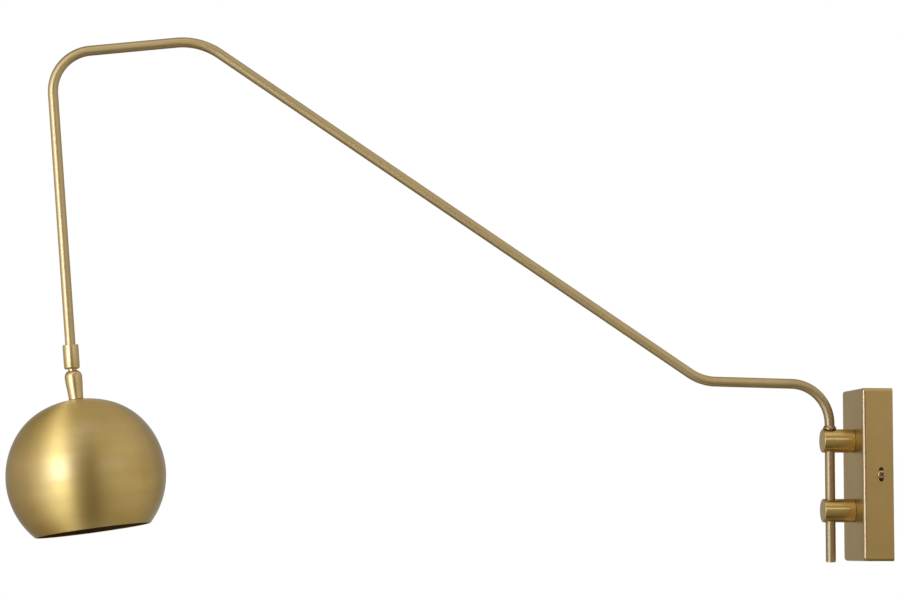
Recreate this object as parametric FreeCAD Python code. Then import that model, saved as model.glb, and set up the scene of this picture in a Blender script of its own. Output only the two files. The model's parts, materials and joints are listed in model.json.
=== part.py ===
import FreeCAD, Part
import math
import os
from FreeCAD import Placement, Rotation, Vector

# Hanging wall sconce in satin brass: a long bent arm swings in two bosses on a box-shaped wall canopy
# and carries a ball shade on a swivel. Millimetres. The wall is the plane X = 0, the arm reaches out
# along -X, Y is the width and Z is up. The origin is the middle of the canopy's back, on the wall.

# How far a cutter runs past the surface that it starts or ends at
cutter_overrun = 1.0

# Wall canopy
canopy_height = 172.0
canopy_width = 76.0
canopy_depth = 31.0
canopy_wall = 1.5
canopy_edge_radius = 2.0
side_slot_length = 14.3
side_slot_width = 4.6
side_screw_from_wall = 12.5

# Wall bracket inside the canopy
bracket_thickness = 2.0
bracket_height = 128.0
bracket_side_clearance = 0.3
bracket_corner_radius = 4.0
tab_height = 34.0
tab_depth = 20.0
wall_screw_spacing = 88.9
wall_slot_width = 5.0
wall_slot_length = 13.0
cable_hole_radius = 11.0

# Screws and nuts
side_screw_radius = 2.0
side_screw_length = 9.0
side_screw_head_radius = 4.0
side_screw_head_height = 2.4
side_screw_head_round = 1.4
cross_recess_length = 5.0
cross_recess_width = 1.2
cross_recess_turn = 35.0
cross_recess_depth = 1.4
ground_screw_radius = 2.0
ground_screw_head_width = 7.0
ground_screw_head_height = 3.0
ground_screw_flange_radius = 4.6
ground_screw_flange_height = 0.8
ground_screw_height = 24.0
thread_clearance = 0.05

# Bosses that hold the arm's rod
boss_radius = 11.8
boss_length = 31.5
boss_edge_chamfer = 0.5
upper_boss_height = 34.3
lower_boss_height = -35.6
rod_from_wall = 54.7
rod_running_clearance = 0.05
boss_thread_depth = 12.0
boss_lead_clearance = 0.6

# Hollow threaded nipples, washers and nuts, the same size at the bosses and at the shade
nipple_radius = 5.0
nipple_bore_radius = 3.2
boss_washer_radius = 10.5
washer_thickness = 1.5
nut_width = 14.0
nut_thickness = 3.5
nipple_beyond_nut = 1.5

# Terminal block on the bracket
block_width = 30.0
block_height = 18.0
block_depth = 14.0
block_top_height = -14.0
block_way_spacing = 9.0
block_way_radius = 2.5
block_screw_radius = 1.6
block_screw_length = 5.0
block_screw_sunk = 1.0
block_screw_spacing = 9.0
block_screw_slot_width = 0.6
block_screw_slot_depth = 0.8

# Arm tube, measured along its centreline from corner to corner
tube_radius = 5.0
tube_wall = 1.2
rod_foot_height = -86.3
rod_corner_height = 90.7
low_run_length = 131.2
low_run_angle = 1.2
diagonal_length = 603.6
diagonal_angle = 33.5
top_run_length = 147.4
top_run_angle = -6.7
drop_to_pivot = 305.0
drop_lean = 4.5
rod_bend_radius = 39.6
low_bend_radius = 49.6
high_bend_radius = 63.8
drop_bend_radius = 40.6
window_above_boss_middle = 8.0
window_below_boss_middle = 3.2
swing_each_way = 75.0

# Stop collar above the upper boss and plug in the rod's foot
collar_height = 3.3
collar_foot_radius = 6.9
collar_top_radius = 5.4
collar_gap = 0.1
collar_straight = 0.6
plug_ring_height = 0.8
plug_dome_height = 0.4
plug_spigot_length = 6.0
plug_clearance = 0.05

# Ball swivel between the drop tube and the shade, measured from the pivot at the ball's middle
ball_radius = 6.3
ball_clearance = 0.05
ball_flat_height = 4.0
ball_bore_radius = 2.5
ball_flare = 1.3
barrel_radius = 7.7
barrel_top = 19.0
barrel_socket_floor = 9.0
barrel_cavity_top = 7.5
barrel_cavity_radius = 6.45
barrel_lead_radius = 3.2
barrel_edge_chamfer = 0.4
ring_top = -1.7
ring_edge = -2.2
ring_lip = -3.2
ring_bottom = -4.6
ring_lip_radius = 5.4
ring_flare_radius = 5.9
ring_foot_width = 0.6
groove_depth = 0.4
groove_height = 0.6
seat_bottom = 2.6
seat_hole_radius = 4.1
waist_radius = 4.1
stud_length = 9.0

# Shade neck, measured down the shade's axis from the pivot
pivot_to_shade_centre = 109.5
neck_top = 6.7
neck_top_radius = 5.4
neck_shoulder_at = 12.4
neck_shoulder_radius = 8.5
neck_foot_radius = 7.1
nipple_in_neck = 10.0

# Ball shade, spun from sheet: a sphere with a flattened crown and an open mouth
shade_radius = 77.4
shade_wall = 1.2
crown_height = 75.0
crown_arc_radius = 90.0
shoulder_arc_radius = 68.0
rim_depth = 53.5
crown_seat_radius = 8.6
shade_washer_inset = 0.3
shade_hole_clearance = 0.2
shade_lean = 7.7
shade_lean_sideways = 2.3

# Lamp holder and bulb, measured up and down from the shade's centre
holder_top_radius = 11.0
holder_radius = 19.5
holder_cap_height = 14.0
holder_cap_straight = 5.0
holder_wall = 1.6
holder_body_length = 30.0
nipple_in_holder = 6.0
base_disc_radius = 16.5
base_disc_thickness = 5.0
screw_shell_radius = 14.2
screw_shell_wall = 0.5
screw_shell_length = 22.0
contact_width = 5.0
contact_thickness = 0.5
contact_rise = 1.5
contact_reach = 5.0
bulb_cap_radius = 13.0
bulb_cap_length = 21.0
bulb_cap_wall = 0.6
bulb_tip_radius = 4.5
bulb_tip_height = 3.0
bulb_tip_straight = 1.0
globe_radius = 22.5
globe_neck_radius = 12.0
globe_neck_length = 9.0
globe_wall = 0.8
bulb_beyond_holder = 53.0

# Insulated lead from the terminal block to the lamp holder
lead_radius = 2.1
lead_bend_radius = 5.2
lead_straight_end = 0.5
canopy_lead_bend_radius = 8.0
lead_gap = 0.3

# Positions that follow from the sizes above
canopy_front = -canopy_depth
boss_end = canopy_front - boss_length
bracket_front = -bracket_thickness
rod_x = -rod_from_wall
shade_crown_depth = pivot_to_shade_centre - crown_height


def in_arm_plane(reach, height):
    """Point in the arm's plane: reach from the rod's axis, height above the canopy's middle."""
    return Vector(rod_x - reach, 0, height)


def arm_corners():
    """Corners of the arm's centreline, from the rod's foot to the pivot of the swivel."""
    corners = [in_arm_plane(0, rod_foot_height), in_arm_plane(0, rod_corner_height)]
    runs = [
        (low_run_length, low_run_angle),
        (diagonal_length, diagonal_angle),
        (top_run_length, top_run_angle),
        (drop_to_pivot, -90.0 - drop_lean),
    ]
    for length, degrees in runs:
        angle = math.radians(degrees)
        step = Vector(-length * math.cos(angle), 0, length * math.sin(angle))
        corners.append(corners[-1].add(step))
    return corners


def unit(vector):
    """The same direction with a length of one."""
    result = Vector(vector)
    result.normalize()
    return result


def rounded_path(corners, radii):
    """Wire of straight runs joined by tangent arcs, one radius for each inner corner."""
    edges = []
    start = corners[0]
    for index, radius in enumerate(radii):
        corner = corners[index + 1]
        before = unit(corner.sub(corners[index]))
        after = unit(corners[index + 2].sub(corner))
        half_turn = before.getAngle(after) / 2
        setback = radius * math.tan(half_turn)
        arc_start = corner.sub(before * setback)
        arc_end = corner.add(after * setback)
        inward = unit(after.sub(before))
        arc_middle = corner.add(inward * (radius / math.cos(half_turn) - radius))
        edges.append(Part.LineSegment(start, arc_start).toShape())
        edges.append(Part.Arc(arc_start, arc_middle, arc_end).toShape())
        start = arc_end
    edges.append(Part.LineSegment(start, corners[-1]).toShape())
    return Part.Wire(edges)


def round_bar(path, radius):
    """Solid round bar along a wire."""
    first_edge = path.Edges[0]
    start = first_edge.valueAt(first_edge.FirstParameter)
    direction = first_edge.tangentAt(first_edge.FirstParameter)
    profile = Part.Wire([Part.makeCircle(radius, start, direction)])
    return path.makePipeShell([profile], True, False)


def cylinder(radius, length, base, axis):
    """Round bar from a base point along an axis."""
    return Part.makeCylinder(radius, length, base, axis)


def drill(radius, depth, base, axis):
    """Cutter for a through hole: a round bar that runs past both ends of the hole."""
    return cylinder(radius, depth + 2 * cutter_overrun, base.sub(axis * cutter_overrun), axis)


def box(low, high):
    """Box between two corners."""
    size = high.sub(low)
    return Part.makeBox(size.x, size.y, size.z, low)


def turned(points):
    """Solid of revolution about Z from an outline of (radius, height) points joined by lines."""
    corners = [Vector(radius, 0, height) for radius, height in points]
    outline = Part.makePolygon(corners + [corners[0]])
    return Part.Face(outline).revolve(Vector(0, 0, 0), Vector(0, 0, 1), 360)


def turned_edges(edges):
    """Solid of revolution about Z from the edges of a closed outline."""
    outline = Part.Wire(Part.__sortEdges__(edges))
    return Part.Face(outline).revolve(Vector(0, 0, 0), Vector(0, 0, 1), 360)


def line(first, second):
    """Straight outline edge between two (radius, height) points."""
    return Part.LineSegment(Vector(first[0], 0, first[1]), Vector(second[0], 0, second[1])).toShape()


def arc(centre, radius, start_angle, end_angle):
    """Outline arc; the angles are in radians from straight up, growing outwards."""
    points = []
    for angle in (start_angle, (start_angle + end_angle) / 2, end_angle):
        points.append(Vector(centre[0] + radius * math.sin(angle), 0, centre[1] + radius * math.cos(angle)))
    return Part.Arc(points[0], points[1], points[2]).toShape()


def rounded_to(side, end):
    """Outline arc that leaves a side of the outline along the axis and curves in to an end point."""
    run = end[1] - side[1]
    inward = side[0] - end[0]
    radius = (inward ** 2 + run ** 2) / (2 * inward)
    centre = (side[0] - radius, side[1])
    return arc(centre, radius, math.pi / 2, math.atan2(end[0] - centre[0], run))


def hexagon(width, thickness, base, axis):
    """Hexagonal prism, width across its flats."""
    corner_radius = width / 2 / math.cos(math.pi / 6)
    corners = []
    for index in range(7):
        angle = index * math.pi / 3
        corners.append(Vector(corner_radius * math.cos(angle), corner_radius * math.sin(angle), 0))
    prism = Part.Face(Part.makePolygon(corners)).extrude(Vector(0, 0, thickness))
    prism.Placement = Placement(base, Rotation(Vector(0, 0, 1), axis))
    return prism


def slot(width, length, thickness, face, axis):
    """Cutter for an upright slot with round ends through a sheet, from a point on its face."""
    half_straight = (length - width) / 2
    depth = thickness + 2 * cutter_overrun
    centre = face.sub(axis * cutter_overrun)
    across = unit(axis.cross(Vector(0, 0, 1)))
    up = Vector(0, 0, half_straight)
    corners = [
        centre.add(up).add(across * (width / 2)),
        centre.add(up).sub(across * (width / 2)),
        centre.sub(up).sub(across * (width / 2)),
        centre.sub(up).add(across * (width / 2)),
    ]
    middle = Part.Face(Part.makePolygon(corners + [corners[0]])).extrude(axis * depth)
    upper = cylinder(width / 2, depth, centre.add(up), axis)
    lower = cylinder(width / 2, depth, centre.sub(up), axis)
    return middle.fuse([upper, lower]).removeSplitter()


# Canopy and bracket


def canopy_cover():
    """Folded box, open at the wall, with a screw slot in each side and a hole behind each boss."""
    half_width = canopy_width / 2
    half_height = canopy_height / 2
    outer = box(Vector(canopy_front, -half_width, -half_height), Vector(0, half_width, half_height))
    rounded = []
    for edge in outer.Edges:
        on_wall = all(abs(vertex.Point.x) < 1e-6 for vertex in edge.Vertexes)
        if not on_wall:
            rounded.append(edge)
    outer = outer.makeFillet(canopy_edge_radius, rounded)
    inner_low = Vector(canopy_front + canopy_wall, canopy_wall - half_width, canopy_wall - half_height)
    inner_high = Vector(cutter_overrun, half_width - canopy_wall, half_height - canopy_wall)
    cover = outer.cut(box(inner_low, inner_high))
    for height in (upper_boss_height, lower_boss_height):
        base = Vector(canopy_front, 0, height)
        cover = cover.cut(drill(nipple_radius + thread_clearance, canopy_wall, base, Vector(1, 0, 0)))
    for side in (-1, 1):
        centre = Vector(-side_screw_from_wall, side * half_width, 0)
        cutter = slot(side_slot_width, side_slot_length, canopy_wall, centre, Vector(0, -side, 0))
        cover = cover.cut(cutter)
    return cover


def tab_outside():
    """Distance from the middle to the outer face of a bracket tab."""
    return canopy_width / 2 - canopy_wall - bracket_side_clearance


def wall_bracket():
    """Steel plate with slots for the wall screws, a cable hole and two tapped side tabs."""
    outside = tab_outside()
    plate = box(
        Vector(bracket_front, -outside, -bracket_height / 2),
        Vector(0, outside, bracket_height / 2),
    )
    uprights = [edge for edge in plate.Edges if abs(edge.tangentAt(edge.FirstParameter).x) > 0.9]
    bracket = plate.makeFillet(bracket_corner_radius, uprights)
    for side in (-1, 1):
        faces = sorted([side * outside, side * (outside - bracket_thickness)])
        tab_low = Vector(bracket_front - tab_depth, faces[0], -tab_height / 2)
        tab_high = Vector(bracket_front, faces[1], tab_height / 2)
        bracket = bracket.fuse(box(tab_low, tab_high))
    for height in (-wall_screw_spacing / 2, wall_screw_spacing / 2):
        centre = Vector(bracket_front, 0, height)
        cutter = slot(wall_slot_width, wall_slot_length, bracket_thickness, centre, Vector(1, 0, 0))
        bracket = bracket.cut(cutter)
    holes = [(cable_hole_radius, 0), (ground_screw_radius + thread_clearance, ground_screw_height)]
    for radius, height in holes:
        start = Vector(bracket_front, 0, height)
        bracket = bracket.cut(drill(radius, bracket_thickness, start, Vector(1, 0, 0)))
    tapped_radius = side_screw_radius + thread_clearance
    start = Vector(-side_screw_from_wall, -outside, 0)
    bracket = bracket.cut(drill(tapped_radius, 2 * outside, start, Vector(0, 1, 0)))
    return bracket.removeSplitter()


def canopy_side_screws():
    """Two pan-head screws with cross recesses that clamp the canopy to the bracket's tabs."""
    screws = []
    head = cylinder(side_screw_head_radius, side_screw_head_height, Vector(0, 0, 0), Vector(0, 0, 1))
    top_edge = [edge for edge in head.Edges if abs(edge.CenterOfMass.z - side_screw_head_height) < 1e-6]
    head = head.makeFillet(side_screw_head_round, top_edge)
    shank = cylinder(side_screw_radius, side_screw_length, Vector(0, 0, -side_screw_length), Vector(0, 0, 1))
    screw = head.fuse(shank)
    for length_along_x in (True, False):
        long_side = cross_recess_length if length_along_x else cross_recess_width
        short_side = cross_recess_width if length_along_x else cross_recess_length
        floor = side_screw_head_height - cross_recess_depth
        low = Vector(-long_side / 2, -short_side / 2, floor)
        high = Vector(long_side / 2, short_side / 2, side_screw_head_height + cutter_overrun)
        screw = screw.cut(box(low, high))
    screw.rotate(Vector(0, 0, 0), Vector(0, 0, 1), cross_recess_turn)
    for side in (-1, 1):
        copy = screw.copy()
        seat = Vector(-side_screw_from_wall, side * canopy_width / 2, 0)
        copy.Placement = Placement(seat, Rotation(Vector(0, 0, 1), Vector(0, side, 0)))
        screws.append(copy)
    return Part.makeCompound(screws)


def ground_screw():
    """Hexagon screw with a flange in the bracket, for the earth wire."""
    base = Vector(bracket_front, 0, ground_screw_height)
    out = Vector(-1, 0, 0)
    shank = cylinder(ground_screw_radius, bracket_thickness, Vector(0, 0, ground_screw_height), out)
    flange = cylinder(ground_screw_flange_radius, ground_screw_flange_height, base, out)
    head = hexagon(ground_screw_head_width, ground_screw_head_height, base, out)
    return shank.fuse([flange, head]).removeSplitter()


def terminal_block():
    """Three-way block with a wire way and two screw wells for each way."""
    low = Vector(bracket_front - block_depth, -block_width / 2, block_top_height - block_height)
    high = Vector(bracket_front, block_width / 2, block_top_height)
    block = box(low, high)
    way_x = bracket_front - block_depth / 2
    for way in (-1, 0, 1):
        start = Vector(way_x, way * block_way_spacing, low.z)
        block = block.cut(drill(block_way_radius, block_height, start, Vector(0, 0, 1)))
        for well in (-1, 1):
            start = Vector(low.x - cutter_overrun, way * block_way_spacing, block_screw_z(well))
            well_radius = block_screw_radius + thread_clearance
            block = block.cut(cylinder(well_radius, way_x - start.x, start, Vector(1, 0, 0)))
    return block


def block_screw_z(well):
    """Height of the lower (-1) or upper (1) screws of the terminal block."""
    return block_top_height - block_height / 2 + well * block_screw_spacing / 2


def terminal_screws():
    """Six small slotted screws in the terminal block."""
    screws = []
    front = bracket_front - block_depth + block_screw_sunk
    for way in (-1, 0, 1):
        for well in (-1, 1):
            base = Vector(front, way * block_way_spacing, block_screw_z(well))
            screw = cylinder(block_screw_radius, block_screw_length, base, Vector(1, 0, 0))
            across = block_screw_radius + cutter_overrun
            up = block_screw_slot_width / 2
            slot_low = base.add(Vector(-cutter_overrun, -across, -up))
            slot_high = base.add(Vector(block_screw_slot_depth, across, up))
            screws.append(screw.cut(box(slot_low, slot_high)))
    return Part.makeCompound(screws)


# Bosses and their fixings


def boss(height):
    """Turned boss with a cross bore for the rod, a tapped back and a way for the lead."""
    body = cylinder(boss_radius, boss_length, Vector(canopy_front, 0, height), Vector(-1, 0, 0))
    end_edge = [edge for edge in body.Edges if abs(edge.CenterOfMass.x - boss_end) < 1e-6]
    body = body.makeChamfer(boss_edge_chamfer, end_edge)
    bore_start = Vector(rod_x, 0, height - boss_radius)
    bore = drill(tube_radius + rod_running_clearance, 2 * boss_radius, bore_start, Vector(0, 0, 1))
    thread_start = Vector(canopy_front + cutter_overrun, 0, height)
    thread_length = boss_thread_depth + cutter_overrun
    thread = cylinder(nipple_radius + thread_clearance, thread_length, thread_start, Vector(-1, 0, 0))
    return body.cut(bore).cut(thread)


def upper_boss():
    """The upper boss also has a drilled way from its tapped back into the cross bore."""
    way = cylinder(lead_radius + boss_lead_clearance, rod_from_wall - canopy_depth,
                   Vector(canopy_front, 0, upper_boss_height), Vector(-1, 0, 0))
    return boss(upper_boss_height).cut(way)


def lower_boss():
    """The lower boss only steadies the rod."""
    return boss(lower_boss_height)


def nipple_back():
    """X of the end of a boss nipple inside the canopy."""
    return canopy_front + canopy_wall + washer_thickness + nut_thickness + nipple_beyond_nut


def boss_nipples():
    """Hollow threaded nipples that draw the bosses onto the canopy's front."""
    nipples = []
    front = canopy_front - boss_thread_depth
    for height in (upper_boss_height, lower_boss_height):
        base = Vector(front, 0, height)
        length = nipple_back() - front
        outer = cylinder(nipple_radius, length, base, Vector(1, 0, 0))
        bore = drill(nipple_bore_radius, length, base, Vector(1, 0, 0))
        nipples.append(outer.cut(bore))
    return Part.makeCompound(nipples)


def washer(radius, base, axis):
    """Flat washer for a nipple."""
    disc = cylinder(radius, washer_thickness, base, axis)
    hole = drill(nipple_radius + thread_clearance, washer_thickness, base, axis)
    return disc.cut(hole)


def nut(base, axis):
    """Thin hexagon nut for a nipple."""
    body = hexagon(nut_width, nut_thickness, base, axis)
    hole = drill(nipple_radius + thread_clearance, nut_thickness, base, axis)
    return body.cut(hole)


def boss_washers():
    """Washers behind the canopy's front."""
    inside = canopy_front + canopy_wall
    bases = [Vector(inside, 0, height) for height in (upper_boss_height, lower_boss_height)]
    return Part.makeCompound([washer(boss_washer_radius, base, Vector(1, 0, 0)) for base in bases])


def boss_nuts():
    """Nuts on the boss nipples."""
    inside = canopy_front + canopy_wall + washer_thickness
    bases = [Vector(inside, 0, height) for height in (upper_boss_height, lower_boss_height)]
    return Part.makeCompound([nut(base, Vector(1, 0, 0)) for base in bases])


# Arm


def arm_bends():
    """Centreline radii of the four bends, from the rod to the drop."""
    return [rod_bend_radius, low_bend_radius, high_bend_radius, drop_bend_radius]


def along_drop(distance):
    """Point on the drop's axis, at a distance above the pivot."""
    corners = arm_corners()
    return corners[-1].add(drop_direction() * -distance)


def drop_direction():
    """Direction of the drop tube, downwards."""
    corners = arm_corners()
    return unit(corners[-1].sub(corners[-2]))


def arm_tube():
    """One bent tube from the rod's foot to the swivel, with a window for the lead in the upper boss."""
    corners = arm_corners()
    corners[-1] = along_drop(barrel_socket_floor)
    path = rounded_path(corners, arm_bends())
    tube = round_bar(path, tube_radius).cut(round_bar(path, tube_radius - tube_wall))
    lead_half_angle = math.degrees(math.asin((lead_radius + lead_gap) / (tube_radius - tube_wall)))
    half_window = swing_each_way + lead_half_angle
    base = Vector(rod_x, 0, upper_boss_height - window_below_boss_middle)
    height = window_below_boss_middle + window_above_boss_middle
    wedge = Part.makeCylinder(tube_radius + cutter_overrun, height, base, Vector(0, 0, 1), 2 * half_window)
    wedge.rotate(base, Vector(0, 0, 1), -half_window)
    return tube.cut(wedge)


def stop_collar():
    """Tapered collar fixed on the rod: it rests on the upper boss and carries the arm's weight."""
    base = upper_boss_height + boss_radius + collar_gap
    collar = turned([
        (tube_radius, 0),
        (collar_foot_radius, 0),
        (collar_foot_radius, collar_straight),
        (collar_top_radius, collar_height),
        (tube_radius, collar_height),
    ])
    collar.translate(Vector(rod_x, 0, base))
    return collar


def rod_end_plug():
    """Plug with a low dome that closes the rod's foot."""
    bore = tube_radius - tube_wall - plug_clearance
    full = tube_radius - plug_ring_height / 2
    dome_radius = (full ** 2 + plug_dome_height ** 2) / (2 * plug_dome_height)
    edge_angle = math.asin(full / dome_radius)
    dome_centre = (0, -plug_ring_height + dome_radius - plug_dome_height)
    edges = [
        line((0, plug_spigot_length), (bore, plug_spigot_length)),
        line((bore, plug_spigot_length), (bore, 0)),
        line((bore, 0), (full, 0)),
        line((full, 0), (full, -plug_ring_height)),
        arc(dome_centre, dome_radius, math.pi - edge_angle, math.pi),
        line((0, -plug_ring_height - plug_dome_height), (0, plug_spigot_length)),
    ]
    plug = turned_edges(edges)
    plug.translate(Vector(rod_x, 0, rod_foot_height))
    return plug


# Swivel. Each piece is made on Z about the pivot and then set on the drop's axis or the shade's axis.


def on_drop(shape):
    """Set a piece made about the origin on the drop's axis, its +Z towards the arm."""
    up = drop_direction() * -1
    shape.Placement = Placement(along_drop(0), Rotation(Vector(0, 0, 1), up))
    return shape


def swivel_barrel():
    """Barrel with a socket for the drop tube above and the ball's cavity below."""
    barrel = turned([
        (tube_radius, barrel_top),
        (barrel_radius - barrel_edge_chamfer, barrel_top),
        (barrel_radius, barrel_top - barrel_edge_chamfer),
        (barrel_radius, ring_top + groove_height),
        (barrel_radius - groove_depth, ring_top + groove_height),
        (barrel_radius - groove_depth, ring_top),
        (barrel_cavity_radius, ring_top),
        (barrel_cavity_radius, barrel_cavity_top),
        (barrel_lead_radius, barrel_cavity_top),
        (barrel_lead_radius, barrel_socket_floor),
        (tube_radius, barrel_socket_floor),
    ])
    return on_drop(barrel)


def swivel_ring():
    """Ring screwed under the barrel: rounded off below, with a lip inside that keeps the ball in."""
    foot_radius = ring_flare_radius + ring_foot_width
    edges = [
        line((ring_lip_radius, ring_top), (barrel_radius, ring_top)),
        line((barrel_radius, ring_top), (barrel_radius, ring_edge)),
        rounded_to((barrel_radius, ring_edge), (foot_radius, ring_bottom)),
        line((foot_radius, ring_bottom), (ring_flare_radius, ring_bottom)),
        line((ring_flare_radius, ring_bottom), (ring_lip_radius, ring_lip)),
        line((ring_lip_radius, ring_lip), (ring_lip_radius, ring_top)),
    ]
    ring = turned_edges(edges).cut(Part.makeSphere(ball_radius + ball_clearance))
    return on_drop(ring)


def swivel_seat():
    """Friction seat pressed on top of the ball."""
    seat = turned([
        (seat_hole_radius, seat_bottom),
        (ball_radius, seat_bottom),
        (ball_radius, barrel_cavity_top - ball_clearance),
        (seat_hole_radius, barrel_cavity_top - ball_clearance),
    ])
    seat = seat.cut(Part.makeSphere(ball_radius + ball_clearance))
    return on_drop(seat)


def shade_direction():
    """Direction of the shade's axis, downwards: it leans back to the wall and a little sideways."""
    back = math.tan(math.radians(shade_lean))
    sideways = math.tan(math.radians(shade_lean_sideways))
    return unit(Vector(back, -sideways, -1))


def on_shade(shape, height=0.0):
    """Set a piece made on Z on the shade's axis: its origin goes to a height above the shade's centre."""
    up = shade_direction() * -1
    place = along_drop(0).sub(up * (pivot_to_shade_centre - height))
    shape.Placement = Placement(place, Rotation(Vector(0, 0, 1), up))
    return shape


def swivel_ball():
    """Bored ball with a waist and a threaded stud."""
    ball = Part.makeSphere(ball_radius)
    ball = ball.cut(box(Vector(-ball_radius, -ball_radius, ball_flat_height), Vector(1, 1, 1) * ball_radius))
    waist = cylinder(waist_radius, neck_top, Vector(0, 0, -neck_top), Vector(0, 0, 1))
    stud_base = Vector(0, 0, -neck_top - stud_length)
    stud = cylinder(waist_radius - thread_clearance, stud_length, stud_base, Vector(0, 0, 1))
    ball = ball.fuse([waist, stud]).removeSplitter()
    bore = drill(ball_bore_radius, neck_top + stud_length + ball_radius, stud_base, Vector(0, 0, 1))
    flare = Part.makeCone(ball_bore_radius, ball_bore_radius + ball_flare, ball_flat_height,
                          Vector(0, 0, 0), Vector(0, 0, 1))
    ball = ball.cut(bore.fuse(flare))
    return on_shade(ball, pivot_to_shade_centre)


# Shade


def shade_neck():
    """Turned neck: a rounded shoulder under the waist, then a waisted taper down to the crown.

    The taper is one cubic curve that leaves the shoulder and meets the foot along the axis.
    """
    foot = shade_crown_depth
    taper_pull = (foot - neck_shoulder_at) / 3
    taper = Part.BezierCurve()
    taper.setPoles([
        Vector(neck_shoulder_radius, 0, -neck_shoulder_at),
        Vector(neck_shoulder_radius, 0, -neck_shoulder_at - taper_pull),
        Vector(neck_foot_radius, 0, -foot + taper_pull),
        Vector(neck_foot_radius, 0, -foot),
    ])
    upper_bore = waist_radius
    step_at = neck_top + stud_length
    lower_bore = nipple_radius + thread_clearance
    lower_step = foot - nipple_in_neck
    edges = [
        rounded_to((neck_shoulder_radius, -neck_shoulder_at), (neck_top_radius, -neck_top)),
        taper.toShape(),
        line((neck_foot_radius, -foot), (lower_bore, -foot)),
        line((lower_bore, -foot), (lower_bore, -lower_step)),
        line((lower_bore, -lower_step), (nipple_bore_radius, -lower_step)),
        line((nipple_bore_radius, -lower_step), (nipple_bore_radius, -step_at)),
        line((nipple_bore_radius, -step_at), (upper_bore, -step_at)),
        line((upper_bore, -step_at), (upper_bore, -neck_top)),
        line((upper_bore, -neck_top), (neck_top_radius, -neck_top)),
    ]
    return on_shade(turned_edges(edges), pivot_to_shade_centre)


def shade_arcs(inset):
    """Arcs of the shade's meridian from the axis to the rim, as (centre, radius, start, end).

    Three arcs meet with common tangents: the crown about the axis, a shoulder about a point off the
    axis, and the ball about the centre. The shoulder's centre lies at known distances from the
    other two centres, which gives its place. An inset moves all three inwards.
    """
    crown_centre = crown_height - crown_arc_radius
    to_ball = shade_radius - shoulder_arc_radius
    to_crown = crown_arc_radius - shoulder_arc_radius
    shoulder_z = (to_crown ** 2 - to_ball ** 2 - crown_centre ** 2) / (-2 * crown_centre)
    shoulder_r = math.sqrt(to_ball ** 2 - shoulder_z ** 2)
    crown_angle = math.atan2(shoulder_r, shoulder_z - crown_centre)
    ball_angle = math.atan2(shoulder_r, shoulder_z)
    ball = shade_radius - inset
    return [
        ((0, crown_centre), crown_arc_radius - inset, 0, crown_angle),
        ((shoulder_r, shoulder_z), shoulder_arc_radius - inset, crown_angle, ball_angle),
        ((0, 0), ball, ball_angle, math.acos(-rim_depth / ball)),
    ]


def shade_profile(inset):
    """Edges of the shade's meridian from the flat seat at the crown to the rim, with both end points."""
    edges = []
    for centre, radius, start, end in shade_arcs(inset):
        if centre[0] + radius * math.sin(end) <= crown_seat_radius:
            continue
        if not edges:
            start = math.asin((crown_seat_radius - centre[0]) / radius)
            seat_point = (crown_seat_radius, centre[1] + radius * math.cos(start))
        edges.append(arc(centre, radius, start, end))
    rim_point = (radius * math.sin(end), -rim_depth)
    return edges, seat_point, rim_point


def crown_seat_height():
    """Height of the flat seat on the crown above the shade's centre."""
    return shade_profile(0)[1][1]


def shade_shell():
    """Spun shell with a flat seat and a hole at the crown."""
    outer, outer_seat, outer_rim = shade_profile(0)
    inner, inner_seat, inner_rim = shade_profile(shade_wall)
    hole = nipple_radius + shade_hole_clearance
    edges = outer + inner + [
        line(outer_rim, inner_rim),
        line((hole, outer_seat[1]), outer_seat),
        line((hole, inner_seat[1]), inner_seat),
        line((hole, outer_seat[1]), (hole, inner_seat[1])),
    ]
    return on_shade(turned_edges(edges))


def inside_crown():
    """Height of the crown's flat underside above the shade's centre."""
    return shade_profile(shade_wall)[1][1]


def shade_nipple():
    """Hollow threaded nipple through neck, crown, washer, nut and lamp holder."""
    top = pivot_to_shade_centre - shade_crown_depth + nipple_in_neck
    bottom = holder_top() - nipple_in_holder
    outer = cylinder(nipple_radius, top - bottom, Vector(0, 0, bottom), Vector(0, 0, 1))
    bore = drill(nipple_bore_radius, top - bottom, Vector(0, 0, bottom), Vector(0, 0, 1))
    return on_shade(outer.cut(bore))


def shade_washer():
    """Washer under the crown's flat seat."""
    radius = crown_seat_radius - shade_washer_inset
    return on_shade(washer(radius, Vector(0, 0, inside_crown()), Vector(0, 0, -1)))


def shade_nut():
    """Nut that clamps the shade to its neck."""
    return on_shade(nut(Vector(0, 0, inside_crown() - washer_thickness), Vector(0, 0, -1)))


# Lamp holder and bulb


def holder_top():
    """Height of the top of the lamp holder above the shade's centre."""
    return inside_crown() - washer_thickness - nut_thickness


def holder_joint():
    """Height where the holder's cap meets its body."""
    return holder_top() - holder_cap_height


def holder_cap():
    """Domed cap of the lamp holder, tapped for the nipple."""
    top = holder_top()
    joint = holder_joint()
    straight = joint + holder_cap_straight
    hole = nipple_radius + thread_clearance
    inner_top = top - nipple_in_holder
    cap = turned([
        (hole, top),
        (holder_top_radius, top),
        (holder_radius, straight),
        (holder_radius, joint),
        (holder_radius - holder_wall, joint),
        (holder_radius - holder_wall, straight - holder_wall),
        (holder_top_radius - holder_wall, inner_top),
        (hole, inner_top),
    ])
    return on_shade(cap)


def holder_body():
    """Tube-shaped body of the lamp holder with an inner ledge for the insulating base."""
    joint = holder_joint()
    bottom = joint - holder_body_length
    ledge = joint - base_disc_thickness
    body = turned([
        (base_disc_radius + thread_clearance, joint),
        (holder_radius, joint),
        (holder_radius, bottom),
        (screw_shell_radius + thread_clearance, bottom),
        (screw_shell_radius + thread_clearance, ledge),
        (base_disc_radius + thread_clearance, ledge),
    ])
    return on_shade(body)


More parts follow.
